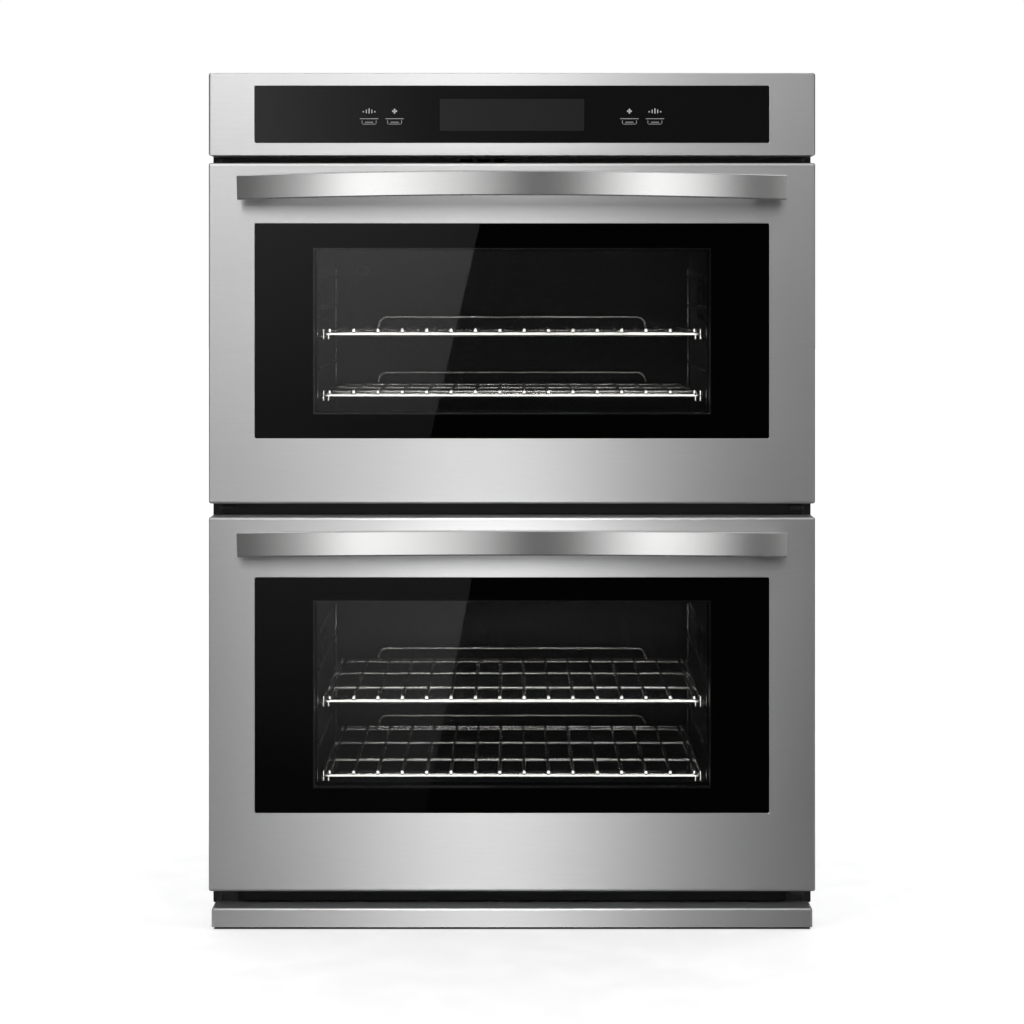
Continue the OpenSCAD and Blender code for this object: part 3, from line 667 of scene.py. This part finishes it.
# %% Black print and its window
ink = Finish("fired_black_ink", (0.004, 0.004, 0.0045), 0.5, Specular_IOR_Level=0.0)
mottle = ink.effect(grain, "Height", Stretch=(500.0,) * 3, Contrast=1.0)
ink.link(ink.mix(mottle, (0.0015, 0.0015, 0.0018), (0.003, 0.003, 0.0033)), "Base Color")
black_ink = ink.material
PRINT = 0.15 * MM


def printed(name, low, high, hole, body):
    """Ink that shows just inside the back of a pane, with a clear patch left in it."""
    back = high.y - PRINT
    ink_low, ink_high = Vector((low.x, back - PRINT, low.z)), Vector((high.x, back, high.z))
    finish(ring(name, ink_low, ink_high, *hole), body, black_ink)


for level in LEVELS:
    glass_low, glass_high = rectangle(f"{level}_door_glass", 1 * MM)
    printed(f"{level}_door_print", glass_low, glass_high, window[level], f"{level}_door")

display_low, display_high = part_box("display_module")
glass_low, glass_high = rectangle("control_glass", 1 * MM)
SCREEN_X = 90.7 * MM
screen_low = Vector((-SCREEN_X, glass_high.y - 2 * PRINT, display_low.z + 1.5 * MM))
screen_high = Vector((SCREEN_X, glass_high.y - PRINT, display_high.z - 1.5 * MM))
printed("control_glass_print", glass_low, glass_high, (screen_low, screen_high), "chassis")

# %% [markdown]
# ## The display and the touch marks
# A switched-off display still looks a shade lighter than the black print round it, so its face is
# given a very faint painted glow of grey in place of that light. The touch marks are raised white ink:
# a rule, a tray below it and a small sign above. They are plain bars, made as thin blocks and joined.

# %% Display face with a painted glow
# Painted glow: the switched-off face emits a faint grey in place of the light it would show
display_glow = Finish("display_face", (0.03, 0.032, 0.034), 0.35, Emission_Strength=1.0)
glow_speckle = display_glow.effect(grain, "Height", Stretch=(900.0,) * 3, Contrast=0.8)
display_glow.link(display_glow.mix(glow_speckle, (0.010, 0.010, 0.0095), (0.013, 0.013, 0.0125)), "Emission Color")
display_glow.link(display_glow.between(glow_speckle, 0.3, 0.4), "Roughness")
face = block("display_face", screen_low, screen_high)
bevel_edges(face, lambda edge: along(edge, 1), 1.5 * MM)
finish(face, "chassis", display_glow.material)

# %% Touch marks
white_ink = moulded("white_ink", (0.5, 0.5, 0.5), 0.5, 0.00001)
INK = 0.12 * MM
mark_z = (screen_low.z + screen_high.z) / 2 - 5 * MM


def bar(x0, x1, z0, z1):
    """One thin bar of ink on the front of the control glass, in millimetres from the mark."""
    return block("bar", (x0 * MM, glass_low.y - INK, mark_z + z0 * MM),
                 (x1 * MM, glass_low.y, mark_z + z1 * MM))


RULE = (-11.5, 11.5, -0.25, 0.25)
TRAY = ((-8, 8, -6.9, -6.5), (-9, -8.6, -6, -2.2), (8.6, 9, -6, -2.2), (-5, 5, -4.6, -4.1))
WAVES = ((-8, -6.5, 8, 9.5), (-4, -3, 7, 11.5), (-0.6, 0.6, 6.5, 13), (3, 4, 7, 11.5),
         (6.5, 8, 8, 9.5))
STAR = ((-3, 3, 8.6, 10.4), (-0.9, 0.9, 6.5, 12.5))
for side, name in ((-1, "left"), (1, "right")):
    symbols = []
    for place, sign in ((179.5, WAVES), (147.5, STAR)):
        for x0, x1, z0, z1 in (RULE, *TRAY, *sign):
            symbols.append(bar(side * place + x0, side * place + x1, z0, z1))
    finish(join(symbols, f"{name}_touch_marks"), "chassis", white_ink)

# %% [markdown]
# ## Handles
# Each handle is a flat bar that bows out and arches up along one arc, so its face turns through
# about ten degrees each way and picks up bands of light and dark. Spinning one section round the
# arc's centre makes it, in steps fine enough for a clean reflection.

# %% Bowed handle bars
BAR_THICK = 12 * MM
ARCH = 5 * MM
BAR_STEPS = 96
for level in LEVELS:
    low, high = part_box(f"{level}_handle")
    bow = high.y - low.y - BAR_THICK
    bar_tall = high.z - low.z - ARCH
    half = (high.x - low.x) / 2 - 1.0 * MM
    rise = math.hypot(bow, ARCH)
    radius = (half * half + rise * rise) / (2 * rise)
    sweep = math.asin(half / radius)
    tilt = math.atan2(ARCH, bow)
    mid = Vector((0, low.y + BAR_THICK / 2, high.z - bar_tall / 2))
    centre = mid + radius * Vector((0, math.cos(tilt), -math.sin(tilt)))
    axis = Vector((0, math.sin(tilt), math.cos(tilt)))
    section = block(f"{level}_handle_bar", mid - Vector((0.001, BAR_THICK / 2, bar_tall / 2)),
                    mid + Vector((0, BAR_THICK / 2, bar_tall / 2)))
    bevel_edges(section, lambda edge: along(edge, 0), 2.0 * MM, 4)
    remove_faces(section, lambda face: face.normal.x < 0.9)
    edit(section, "FACE", lambda face: True)
    bpy.ops.mesh.spin(steps=BAR_STEPS, angle=sweep, center=centre, axis=axis)
    done()
    modify(section, "MIRROR", use_axis=(True, False, False), merge_threshold=1e-5)
    remove_faces(section, lambda face: near(face.calc_center_median().x, 0, 1e-4)
                 and abs(face.normal.x) > 0.9)
    edit(section, "FACE", lambda face: True)
    bpy.ops.mesh.remove_doubles(threshold=1e-6)
    bpy.ops.mesh.normals_make_consistent(inside=False)
    done()
    smooth(section)
    finish(section, f"{level}_door", handle_steel, f"{level}_handle")

# %% [markdown]
# ## The bottom trim and the air outlet
# The trim is one folded strip, open at the back and below, so it starts as a block that loses those
# two faces. It is raised a little and stands on a recessed black strip that paints the thin shadow
# line under it. Behind it a sloping deflector throws the warm air clear of the cabinet: a thin block
# whose lower edge is pulled forward. Black blocks, black like the frame, paint the shade of each gap
# out to the edge of the doors, and a soft stop on each block cushions the door.

# %% Folded trim
low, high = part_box("bottom_vent_trim")
# A black strip under the raised trim paints the thin contact shadow line below it
shadow_strip = block("toe_strip", (low.x + 3 * MM, low.y + 3 * MM, 0.2 * MM),
            (high.x - 3 * MM, high.y, 3.4 * MM))
finish(shadow_strip, "chassis", black_sheet)
low.z = 3.2 * MM
trim = block("bottom_trim", low, high)
remove_faces(trim, lambda face: face.normal.y > 0.9 or face.normal.z < -0.9)
bevel_edges(trim, folded, FOLD, 5)
modify(trim, "SOLIDIFY", thickness=SHEET * 0.9, offset=-1)
smooth(trim)
finish(trim, "chassis", stainless, "bottom_vent_trim")

# %% Air deflector
frame_low, frame_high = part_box("front_frame")
gap_low, gap_high = high.z, skin["lower"][0].z
deflector = block("air_deflector", (-0.347, frame_low.y - 2 * MM, gap_low + 4 * MM),
                  (0.347, frame_low.y - 0.8 * MM, gap_high + 4 * MM))
edit(deflector, "FACE", lambda face: face.normal.z < -0.9)
bpy.ops.transform.translate(value=(0, -18 * MM, 0))
done()
bevel_edges(deflector, lambda edge: along(edge, 0), 0.4 * MM, 2)
finish(deflector, "chassis", black_sheet)

# %% Black blocks that paint the shade at the ends of the three gaps
GAP_SHADE_X, STOP_X = 0.3735, 0.361
gaps = [(gap_low + gap_high) / 2, (skin["lower"][1].z + skin["upper"][0].z) / 2,
        (skin["upper"][1].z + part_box("control_fascia")[0].z) / 2]
# Black like the frame, these blocks paint the shade of each gap out to the door edges
seal = block("seal", (-6 * MM, frame_low.y - 5 * MM, -12 * MM),
             (6 * MM, frame_low.y + 3 * MM, 12 * MM))
bevel_edges(seal, lambda edge: True, 1.0 * MM, 2)
smooth(seal)
gap_shades = repeated(seal, [(side * GAP_SHADE_X, 0, z) for side in (-1, 1) for z in gaps], "gap_seals")
finish(gap_shades, "chassis", black_sheet)

# %% Rubber stops
stop = block("stop", (-9 * MM, frame_low.y - 7 * MM, -2.6 * MM), (9 * MM, frame_low.y, 2.6 * MM))
bevel_edges(stop, lambda edge: True, 1.2 * MM)
smooth(stop)
stops = repeated(stop, [(side * STOP_X, 0, z) for side in (-1, 1) for z in gaps], "gap_stops")
finish(stops, "chassis", moulded("grey_rubber", (0.03, 0.03, 0.031), 0.6))

# %% [markdown]
# ## Between the panes
# A thin metal frame holds the panes apart and shows as a fine grey line just inside the window. On
# the oven side a second frame clamps the inner pane, and screws hold the liner to the door.

# %% Spacer and clamp frames
spacer_grey = plated("dull_aluminium", (0.42, 0.43, 0.44), (0.30, 0.30, 0.30), 0.5)
for level in LEVELS:
    low, high = window[level]
    glass_back, pane_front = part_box(f"{level}_door_glass")[1].y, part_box(f"{level}_door_panes")[0].y
    edge, lip = Vector((3 * MM, 0, 3 * MM)), Vector((1.6 * MM, 0, 1.6 * MM))
    outer_low, outer_high = low - edge, high + edge
    outer_low.y, outer_high.y = glass_back + 0.4 * MM, pane_front - 0.4 * MM
    spacer = ring(f"{level}_pane_spacer", outer_low, outer_high, low + lip, high - lip)
    bevel_edges(spacer, lambda edge: not along(edge, 1), 0.4 * MM, 2)
    smooth(spacer)
    finish(spacer, f"{level}_door", spacer_grey)

    liner_low, liner_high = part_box(f"{level}_door_liner")
    outer_low, outer_high = low - 2 * edge, high + 2 * edge
    outer_low.y, outer_high.y = liner_low.y + 0.05 * MM, liner_high.y + 1.6 * MM
    clamp = ring(f"{level}_pane_clamp", outer_low, outer_high, low + 2 * lip, high - 2 * lip)
    bevel_edges(clamp, lambda edge: not along(edge, 1), 0.7 * MM, 3)
    smooth(clamp)
    finish(clamp, f"{level}_door", black_sheet)

# %% Liner screws
for level in LEVELS:
    liner_low, liner_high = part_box(f"{level}_door_liner")
    head = round_bar("head", (0, liner_high.y + 0.8 * MM, 0), 4.2 * MM, 1.6 * MM, "Y", 24)
    bevel_edges(head, lambda edge: middle(edge).y > liner_high.y + 1.5 * MM, 0.8 * MM)
    slot_cutter = block("slot", (-0.6 * MM, liner_high.y + 1.0 * MM, -2.6 * MM),
                        (0.6 * MM, liner_high.y + 3 * MM, 2.6 * MM))
    cut(head, slot_cutter)
    smooth(head)
    rows = [liner_low.z + 0.16, (liner_low.z + liner_high.z) / 2, liner_high.z - 0.012]
    spots = [(side * 0.318, 0, z) for side in (-1, 1) for z in rows]
    spots += [(x, 0, liner_low.z + 0.014) for x in (-0.24, 0, 0.24)]
    screws = repeated(head, spots, f"{level}_liner_screws")
    finish(screws, f"{level}_door", zinc_plate)

# %% [markdown]
# ## Inside the ovens
# The long wires of a rack end in ground, rounded tips that catch the light above the front bar, so
# a tip is a ball stretched upwards and flattened in front. The lamp covers have upright ribs that
# spread the light. One tip, one post and one rib are modelled and repeated.

# %% Rounded tips on the rack wires
WIRES = 16
TIP_HEIGHT = 7.9 * MM
RACK_HALF = 245.5 * MM
RACKS = [(level, place) for level in LEVELS for place in ("top", "bottom")]
for level, place in RACKS:
    low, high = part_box(f"{level}_oven_{place}_rack")
    inset = 10 * MM + (high.x - low.x - 2 * RACK_HALF) / 2
    deselect()
    spot = low + Vector((inset, 0.5 * MM, TIP_HEIGHT))
    bpy.ops.mesh.primitive_uv_sphere_add(segments=16, ring_count=10, radius=2.35 * MM,
                                         location=spot)
    tip = named("tip")
    edit(tip, "FACE", lambda face: True)
    bpy.ops.transform.resize(value=(1.1, 1, 1.45), center_override=tuple(spot))
    done()
    edit(tip, "FACE", lambda face: face.calc_center_median().y < low.y + 0.4 * MM)
    bpy.ops.transform.resize(value=(1, 0.8, 1), center_override=tuple(spot))
    done()
    smooth(tip)
    pitch = (high.x - low.x - 2 * inset) / (WIRES - 1)
    shifts = [(i * pitch, 0, 0) for i in range(WIRES)]
    tips = repeated(tip, shifts, f"{level}_{place}_rack_tips")
    finish(tips, f"{level}_{place}_rack", rack_wire)

# %% Upright corner wires, two at each front corner of a rack
for level, place in RACKS:
    low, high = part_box(f"{level}_oven_{place}_rack")
    post = round_bar("post", (0, low.y + 1.2 * MM, low.z + 3.5 * MM), 1.3 * MM, 14 * MM, "Z", 12)
    bevel_edges(post, lambda edge: not along(edge, 2), 0.8 * MM, 3)
    smooth(post)
    posts = repeated(post, [(side * x, 0, 0) for side in (-1, 1) for x in (0.243, 0.2365)],
                     f"{level}_{place}_rack_corners")
    finish(posts, f"{level}_{place}_rack", rack_wire)

# %% Ribs on the lamp covers
RIBS = 15
corners = [nodes["lamp_lenses"].matrix_world @ v.co for v in nodes["lamp_lenses"].data.vertices]
for level in LEVELS:
    low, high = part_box(f"{level}_cavity")
    lens = [c for c in corners if low.z < c.z < high.z]
    lens_z = [min(c.z for c in lens), max(c.z for c in lens)]
    cover_x = min(c.x for c in lens if c.x > 0)
    first, last = min(c.y for c in lens) + 0.012, max(c.y for c in lens) - 0.012
    rib = round_bar("rib", (cover_x, first, sum(lens_z) / 2), 1.4 * MM,
                    lens_z[1] - lens_z[0] - 0.008, "Z", 12)
    bevel_edges(rib, lambda edge: not along(edge, 2), 0.6 * MM, 2)
    smooth(rib)
    step = (last - first) / (RIBS - 1)
    shifts = [(x, i * step, 0) for x in (0, -2 * cover_x) for i in range(RIBS)]
    finish(repeated(rib, shifts, f"{level}_lamp_ribs"), "chassis", lamp_glass)

# %% [markdown]
# ## The outside of the chassis
# Thin sheet drums unless it is stiffened, so the side and back panels carry long pressed beads. A
# blank rating plate is riveted beside the supply box.

# %% Pressed beads
side_low, side_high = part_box("side_panel_right")
bead = block("bead", (side_high.x - 0.5 * MM, -7 * MM, 0.11),
             (side_high.x + 1.5 * MM, 7 * MM, 0.86))
bevel_edges(bead, lambda edge: middle(edge).x > side_high.x, 1.4 * MM, 4)
smooth(bead)
beads = repeated(bead, [(0, y, 0) for y in (-0.14, 0.04, 0.22)], "side_beads_right")
finish(beads, "chassis", galvanised)
only(beads)
bpy.ops.object.duplicate(linked=False)
bpy.ops.transform.rotate(value=math.pi, orient_axis="Z", center_override=(0, 0.04, 0))
beads = named("side_beads_left")
finish(beads, "chassis", galvanised)

back_low, back_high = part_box("back_panel")
bead = block("bead", (-0.29, back_high.y - 0.5 * MM, -7 * MM),
             (0.29, back_high.y + 1.4 * MM, 7 * MM))
bevel_edges(bead, lambda edge: middle(edge).y > back_high.y, 1.3 * MM, 4)
smooth(bead)
beads = repeated(bead, [(0, 0, z) for z in (0.12, 0.25, 0.38, 0.62, 0.74, 0.86)], "back_beads")
finish(beads, "chassis", galvanised)

# %% Rating plate with its rivets
plate = block("plate", (0.08, back_high.y, 0.955), (0.17, back_high.y + 0.6 * MM, 1.01))
bevel_edges(plate, lambda edge: along(edge, 1), 3 * MM)
bevel_edges(plate, lambda edge: near(middle(edge).y, back_high.y + 0.6 * MM), 0.25 * MM, 2)
rivet = round_bar("rivet", (0, back_high.y + 0.9 * MM, 0), 2 * MM, 1.2 * MM, "Y", 16)
bevel_edges(rivet, lambda edge: middle(edge).y > back_high.y + 1.4 * MM, 0.6 * MM)
rivets = repeated(rivet, [(x, 0, z) for x in (0.086, 0.164) for z in (0.961, 1.004)], "rivets")
plate = join([plate, rivets], "rating_plate")
smooth(plate)
finish(plate, "chassis", spacer_grey)

# %% [markdown]
# ## Stage, lights and camera
# The oven stands on a pale floor under soft light. Steel shows what it reflects, so the light is
# shaped for each surface: raised and low cards for the fronts, a banded card for the bowed handles,
# and slanted cards for the glass. The raised cards hang above eye level, so that each handle throws
# a shadow on its door. Each light reaches only the parts that it is meant for.

# %% Floor
pale_floor = moulded("pale_floor", (0.5, 0.5, 0.5), 0.8, 0.00002)
floor_shader = pale_floor.node_tree.nodes["Principled BSDF"]
floor_shader.inputs["Emission Color"].default_value = (1, 1, 1, 1)
floor_shader.inputs["Emission Strength"].default_value = 0.55
deselect()
bpy.ops.mesh.primitive_plane_add(size=60, location=(0, 0, 0))
floor = named("floor")
floor.data.materials.append(pale_floor)
for kind in ("visible_glossy", "visible_transmission", "visible_shadow"):
    setattr(floor, kind, False)

# %% Camera, level with the upper window and far enough back for a calm perspective
CAMERA_GAP, EYE_Z = 3.6, 0.816
deselect()
bpy.ops.object.camera_add(location=(0, front_y - CAMERA_GAP, EYE_Z),
                          rotation=(math.radians(90), 0, 0))
camera = bpy.context.active_object
camera.data.sensor_fit = "VERTICAL"
camera.data.sensor_width, camera.data.sensor_height = 24, 36
camera.data.lens = 28.0 * CAMERA_GAP
camera.data.shift_y = -0.2266
camera.data.clip_end = 100
bpy.context.scene.camera = camera

# %% World: white behind the oven, dark in front of it so that the glass stays black
world = bpy.data.worlds.new("studio")
bpy.context.scene.world = world
world.use_nodes = True
sky = world.node_tree
sky.nodes.clear()
direction = node(sky, "ShaderNodeTexCoord").outputs["Generated"]
split = node(sky, "ShaderNodeSeparateXYZ", {"Vector": direction})
slope = node(sky, "ShaderNodeMapRange", {"Value": split.outputs["Y"], "From Min": -0.6,
                                         "From Max": 0.6, "To Min": 0.02, "To Max": 0.25})
dim = node(sky, "ShaderNodeBackground",
           {"Color": (1, 1, 1, 1), "Strength": slope.outputs["Result"]})
white = node(sky, "ShaderNodeBackground", {"Color": (1, 1, 1, 1), "Strength": 1.0})
seen = node(sky, "ShaderNodeLightPath").outputs["Is Camera Ray"]
both = node(sky, "ShaderNodeMixShader", {0: seen, 1: dim.outputs[0], 2: white.outputs[0]})
node(sky, "ShaderNodeOutputWorld", {"Surface": both.outputs[0]})
bpy.context.scene.view_settings.view_transform = "Standard"


# %% Lights
def receivers(name, pieces):
    """A collection that names the only pieces a light reaches."""
    group = bpy.data.collections.new(name)
    for piece in pieces:
        group.objects.link(piece)
    return group


def soft_light(name, place, size, brightness, aim=None, lean=0.0, reach=None):
    """A rectangular area light, facing +Y unless aimed, with its brightness per square metre."""
    deselect()
    bpy.ops.object.light_add(type="AREA", location=place, rotation=(math.radians(90), lean, 0))
    lamp = bpy.context.active_object
    lamp.name = name
    if aim is not None:
        lamp.rotation_euler = (Vector(aim) - Vector(place)).to_track_quat("-Z", "Y").to_euler()
    lamp.data.shape = "RECTANGLE"
    lamp.data.size, lamp.data.size_y = size
    lamp.data.energy = brightness * math.pi * size[0] * size[1]
    lamp.visible_camera = False
    if reach:
        lamp.light_linking.receiver_collection = reach
    return lamp


def linked(name, *names):
    return receivers(name, [bpy.data.objects[n] for n in names])


def shade(tree, position, stops):
    """Brightness that changes along a 0 to 1 position, through the given stops."""
    ramp = node(tree, "ShaderNodeValToRGB", {"Fac": position})
    elements = ramp.color_ramp.elements
    elements[0].position, elements[1].position = stops[0][0], stops[-1][0]
    for place, _ in stops[1:-1]:
        elements.new(place)
    for element, (_, level) in zip(elements, stops):
        element.color = (level, level, level, 1)
    return ramp.outputs["Color"]


def shaded_card(name, place, size, across, upward, reach, lean=0.0):
    """An area light whose brightness changes from left to right and from bottom to top."""
    lamp = soft_light(name, place, size, 1.0, lean=lean, reach=reach)
    lamp.data.use_nodes = True
    tree = lamp.data.node_tree
    spot = node(tree, "ShaderNodeSeparateXYZ",
                {"Vector": node(tree, "ShaderNodeNewGeometry").outputs["Parametric"]})
    level = math_node(tree, "MULTIPLY", shade(tree, spot.outputs["X"], across),
                      shade(tree, spot.outputs["Y"], upward))
    tree.links.new(level, tree.nodes["Emission"].inputs["Strength"])


def metres(width, *stops):
    """Turns distances from the middle of a card into positions along it."""
    return [(0.5 + place / width, level) for place, level in stops]


EVEN = [(0, 1), (1, 1)]
upper_fronts = linked("lit_upper_fronts", "upper_door_front", "control_fascia_front",
                      "left_touch_marks", "right_touch_marks")
lower_fronts = linked("lit_lower_fronts", "lower_door_front", "bottom_trim")
bars = linked("lit_handles", "upper_handle_bar", "lower_handle_bar")
ground = linked("lit_floor", "floor")
oven = receivers("lit_oven", [o for o in bpy.data.objects if o.type == "MESH" and o is not floor])
far = front_y - 3.0
HIGH = metres(3.6, (-1.5, 1.9), (-0.32, 1.85), (-0.11, 2.3), (0.03, 2.2), (0.14, 1.7), (0.28, 1.1),
              (0.46, 0.65), (1.5, 0.45))
LOW = metres(3.6, (-1.5, 0.1), (-0.65, 0.18), (-0.3, 0.65), (-0.09, 1.5), (0, 1.5), (0.11, 0.9),
             (0.28, 0.34), (0.5, 0.1), (1.5, 0.06))
for name, height, tall, across, upward, reach in (
        ("upper_front", 2.15, 1.5, HIGH, [(0, 1.1), (1, 2.5)], upper_fronts),
        ("upper_low", -0.45, 1.0, LOW, [(0, 2.8), (1, 2.8)], upper_fronts),
        ("lower_front", 1.65, 1.5, LOW, [(0, 5.0), (1, 9.0)], lower_fronts),
        ("lower_low", -1.15, 1.1, LOW, [(0, 1.9), (1, 1.9)], lower_fronts)):
    shaded_card(name, (0, far, height), (3.6, tall), across, upward, reach)
shaded_card("handle_bands", (0, far, 0.9), (5.0, 2.4), metres(
    5.0, (-2.0, 0.25), (-1.72, 0.05), (-1.3, 0.52), (-0.97, 1.5), (-0.7, 1.35), (-0.27, 0.8),
    (0.1, 0.1), (0.35, 0.2), (0.85, 1.5), (1.12, 1.15), (1.5, 0.08), (1.68, 0.15), (1.95, 0.7)),
    EVEN, bars)
soft_light("overhead", (0, -0.5, 3.0), (2.4, 1.6), 0.8, aim=(0, 0, 0), reach=oven)

# %% Rim cards for the bright lines along folds and cut edges, strongest from the left and above
edges = receivers("lit_edges", [piece for group in (upper_fronts, lower_fronts, bars)
                                for piece in group.objects])
half_way = Vector((0, front_y, 0.55))
for name, place, size, brightness in (
        ("rim_left", (-2.9, front_y - 2.4, 0.55), (1.0, 4.0), 2.2),
        ("rim_right", (2.9, front_y - 2.4, 0.55), (1.0, 4.0), 1.4),
        ("rim_top", (0, front_y - 2.4, 3.9), (4.0, 1.0), 1.4),
        ("rim_low", (0, front_y - 2.4, -2.8), (4.0, 1.0), 0.3)):
    soft_light(name, place, size, brightness, aim=half_way, reach=edges)

# %% Broad lights for the sides and the back
shell = receivers("lit_shell", [o for o in oven.objects if o.name not in edges.objects
                                and not o.name.endswith("glass")])
for name, place, brightness in (("left_side", (-2.6, 0.6, 1.2), 3.4),
                                ("right_side", (2.6, 0.2, 1.2), 3.0),
                                ("back_side", (0.6, 2.8, 1.3), 3.4)):
    soft_light(name, place, (2.4, 2.0), brightness, aim=(0, 0, 0.5), reach=shell)

# %% A slanted card for each door glass, seen as a pale patch with one leaning edge
CARD_GAP = 0.5
zoom = 1 + CARD_GAP / CAMERA_GAP


def slanted_card(level, top_x, bottom_x, across, upward):
    low, high = opening[level]
    top = Vector((top_x * zoom, EYE_Z + (high.z - EYE_Z) * zoom))
    bottom = Vector((bottom_x * zoom, EYE_Z + (low.z - EYE_Z) * zoom))
    lean = math.atan2(top.x - bottom.x, top.y - bottom.y)
    width = 0.44
    centre = (top + bottom) / 2 + width / 2 * Vector((-math.cos(lean), math.sin(lean)))
    shaded_card(f"{level}_glass_card", (centre.x, front_y - CARD_GAP, centre.y), (width, 0.56),
                across, upward, linked(f"lit_{level}_glass", f"{level}_door_glass"), lean)


slanted_card("upper", -0.040, -0.103, [(0, 1), (1, 0.45)], [(0.2, 0.25), (0.8, 0.62)])
slanted_card("lower", -0.050, -0.109, [(0, 1), (1, 0.8)], [(0.2, 0.03), (0.8, 0.26)])
shaded_card("control_card", (0, front_y - CARD_GAP, 1.06), (0.9, 0.2), metres(
    0.9, (-0.38, 0.8), (-0.25, 0.5), (-0.12, 0.24), (0.1, 0.14), (0.38, 0.12)), EVEN,
    linked("lit_control_glass", "control_glass"))

# %% A thin strip at the top front of each oven lights its walls, and a stronger one its wires
for level, brightness in (("upper", 16.0), ("lower", 36.0)):
    low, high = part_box(f"{level}_cavity")
    place, aim = (0, low.y + 0.02, high.z - 0.012), (0, low.y + 0.2, low.z)
    soft_light(f"{level}_oven_glow", place, (0.44, 0.02), brightness, aim=aim)
    racks = [f"{level}_{part}" for place in ("top", "bottom")
             for part in (f"oven_{place}_rack", f"{place}_rack_tips", f"{place}_rack_corners")]
    wires = linked(f"lit_{level}_wires", "rack_ladders", *racks)
    soft_light(f"{level}_wire_glow", (0, low.y + 0.012, high.z - 0.012), (0.46, 0.03), 75.0,
               aim=aim, reach=wires)
    for place in ("top", "bottom"):
        rack_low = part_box(f"{level}_oven_{place}_rack")[0]
        group = linked(f"lit_{level}_{place}", *(name for name in racks if place in name))
        soft_light(f"{level}_{place}_glint", (0, rack_low.y - 0.028, rack_low.z + 0.014),
                   (0.48, 0.05), 3.6, reach=group)

# %% Floor light
deselect()
bpy.ops.object.light_add(type="SUN", rotation=(0, 0, 0))
sun = bpy.context.active_object
sun.name = "floor_wash"
sun.data.energy = 2.9
sun.data.angle = math.radians(120)
sun.light_linking.receiver_collection = ground
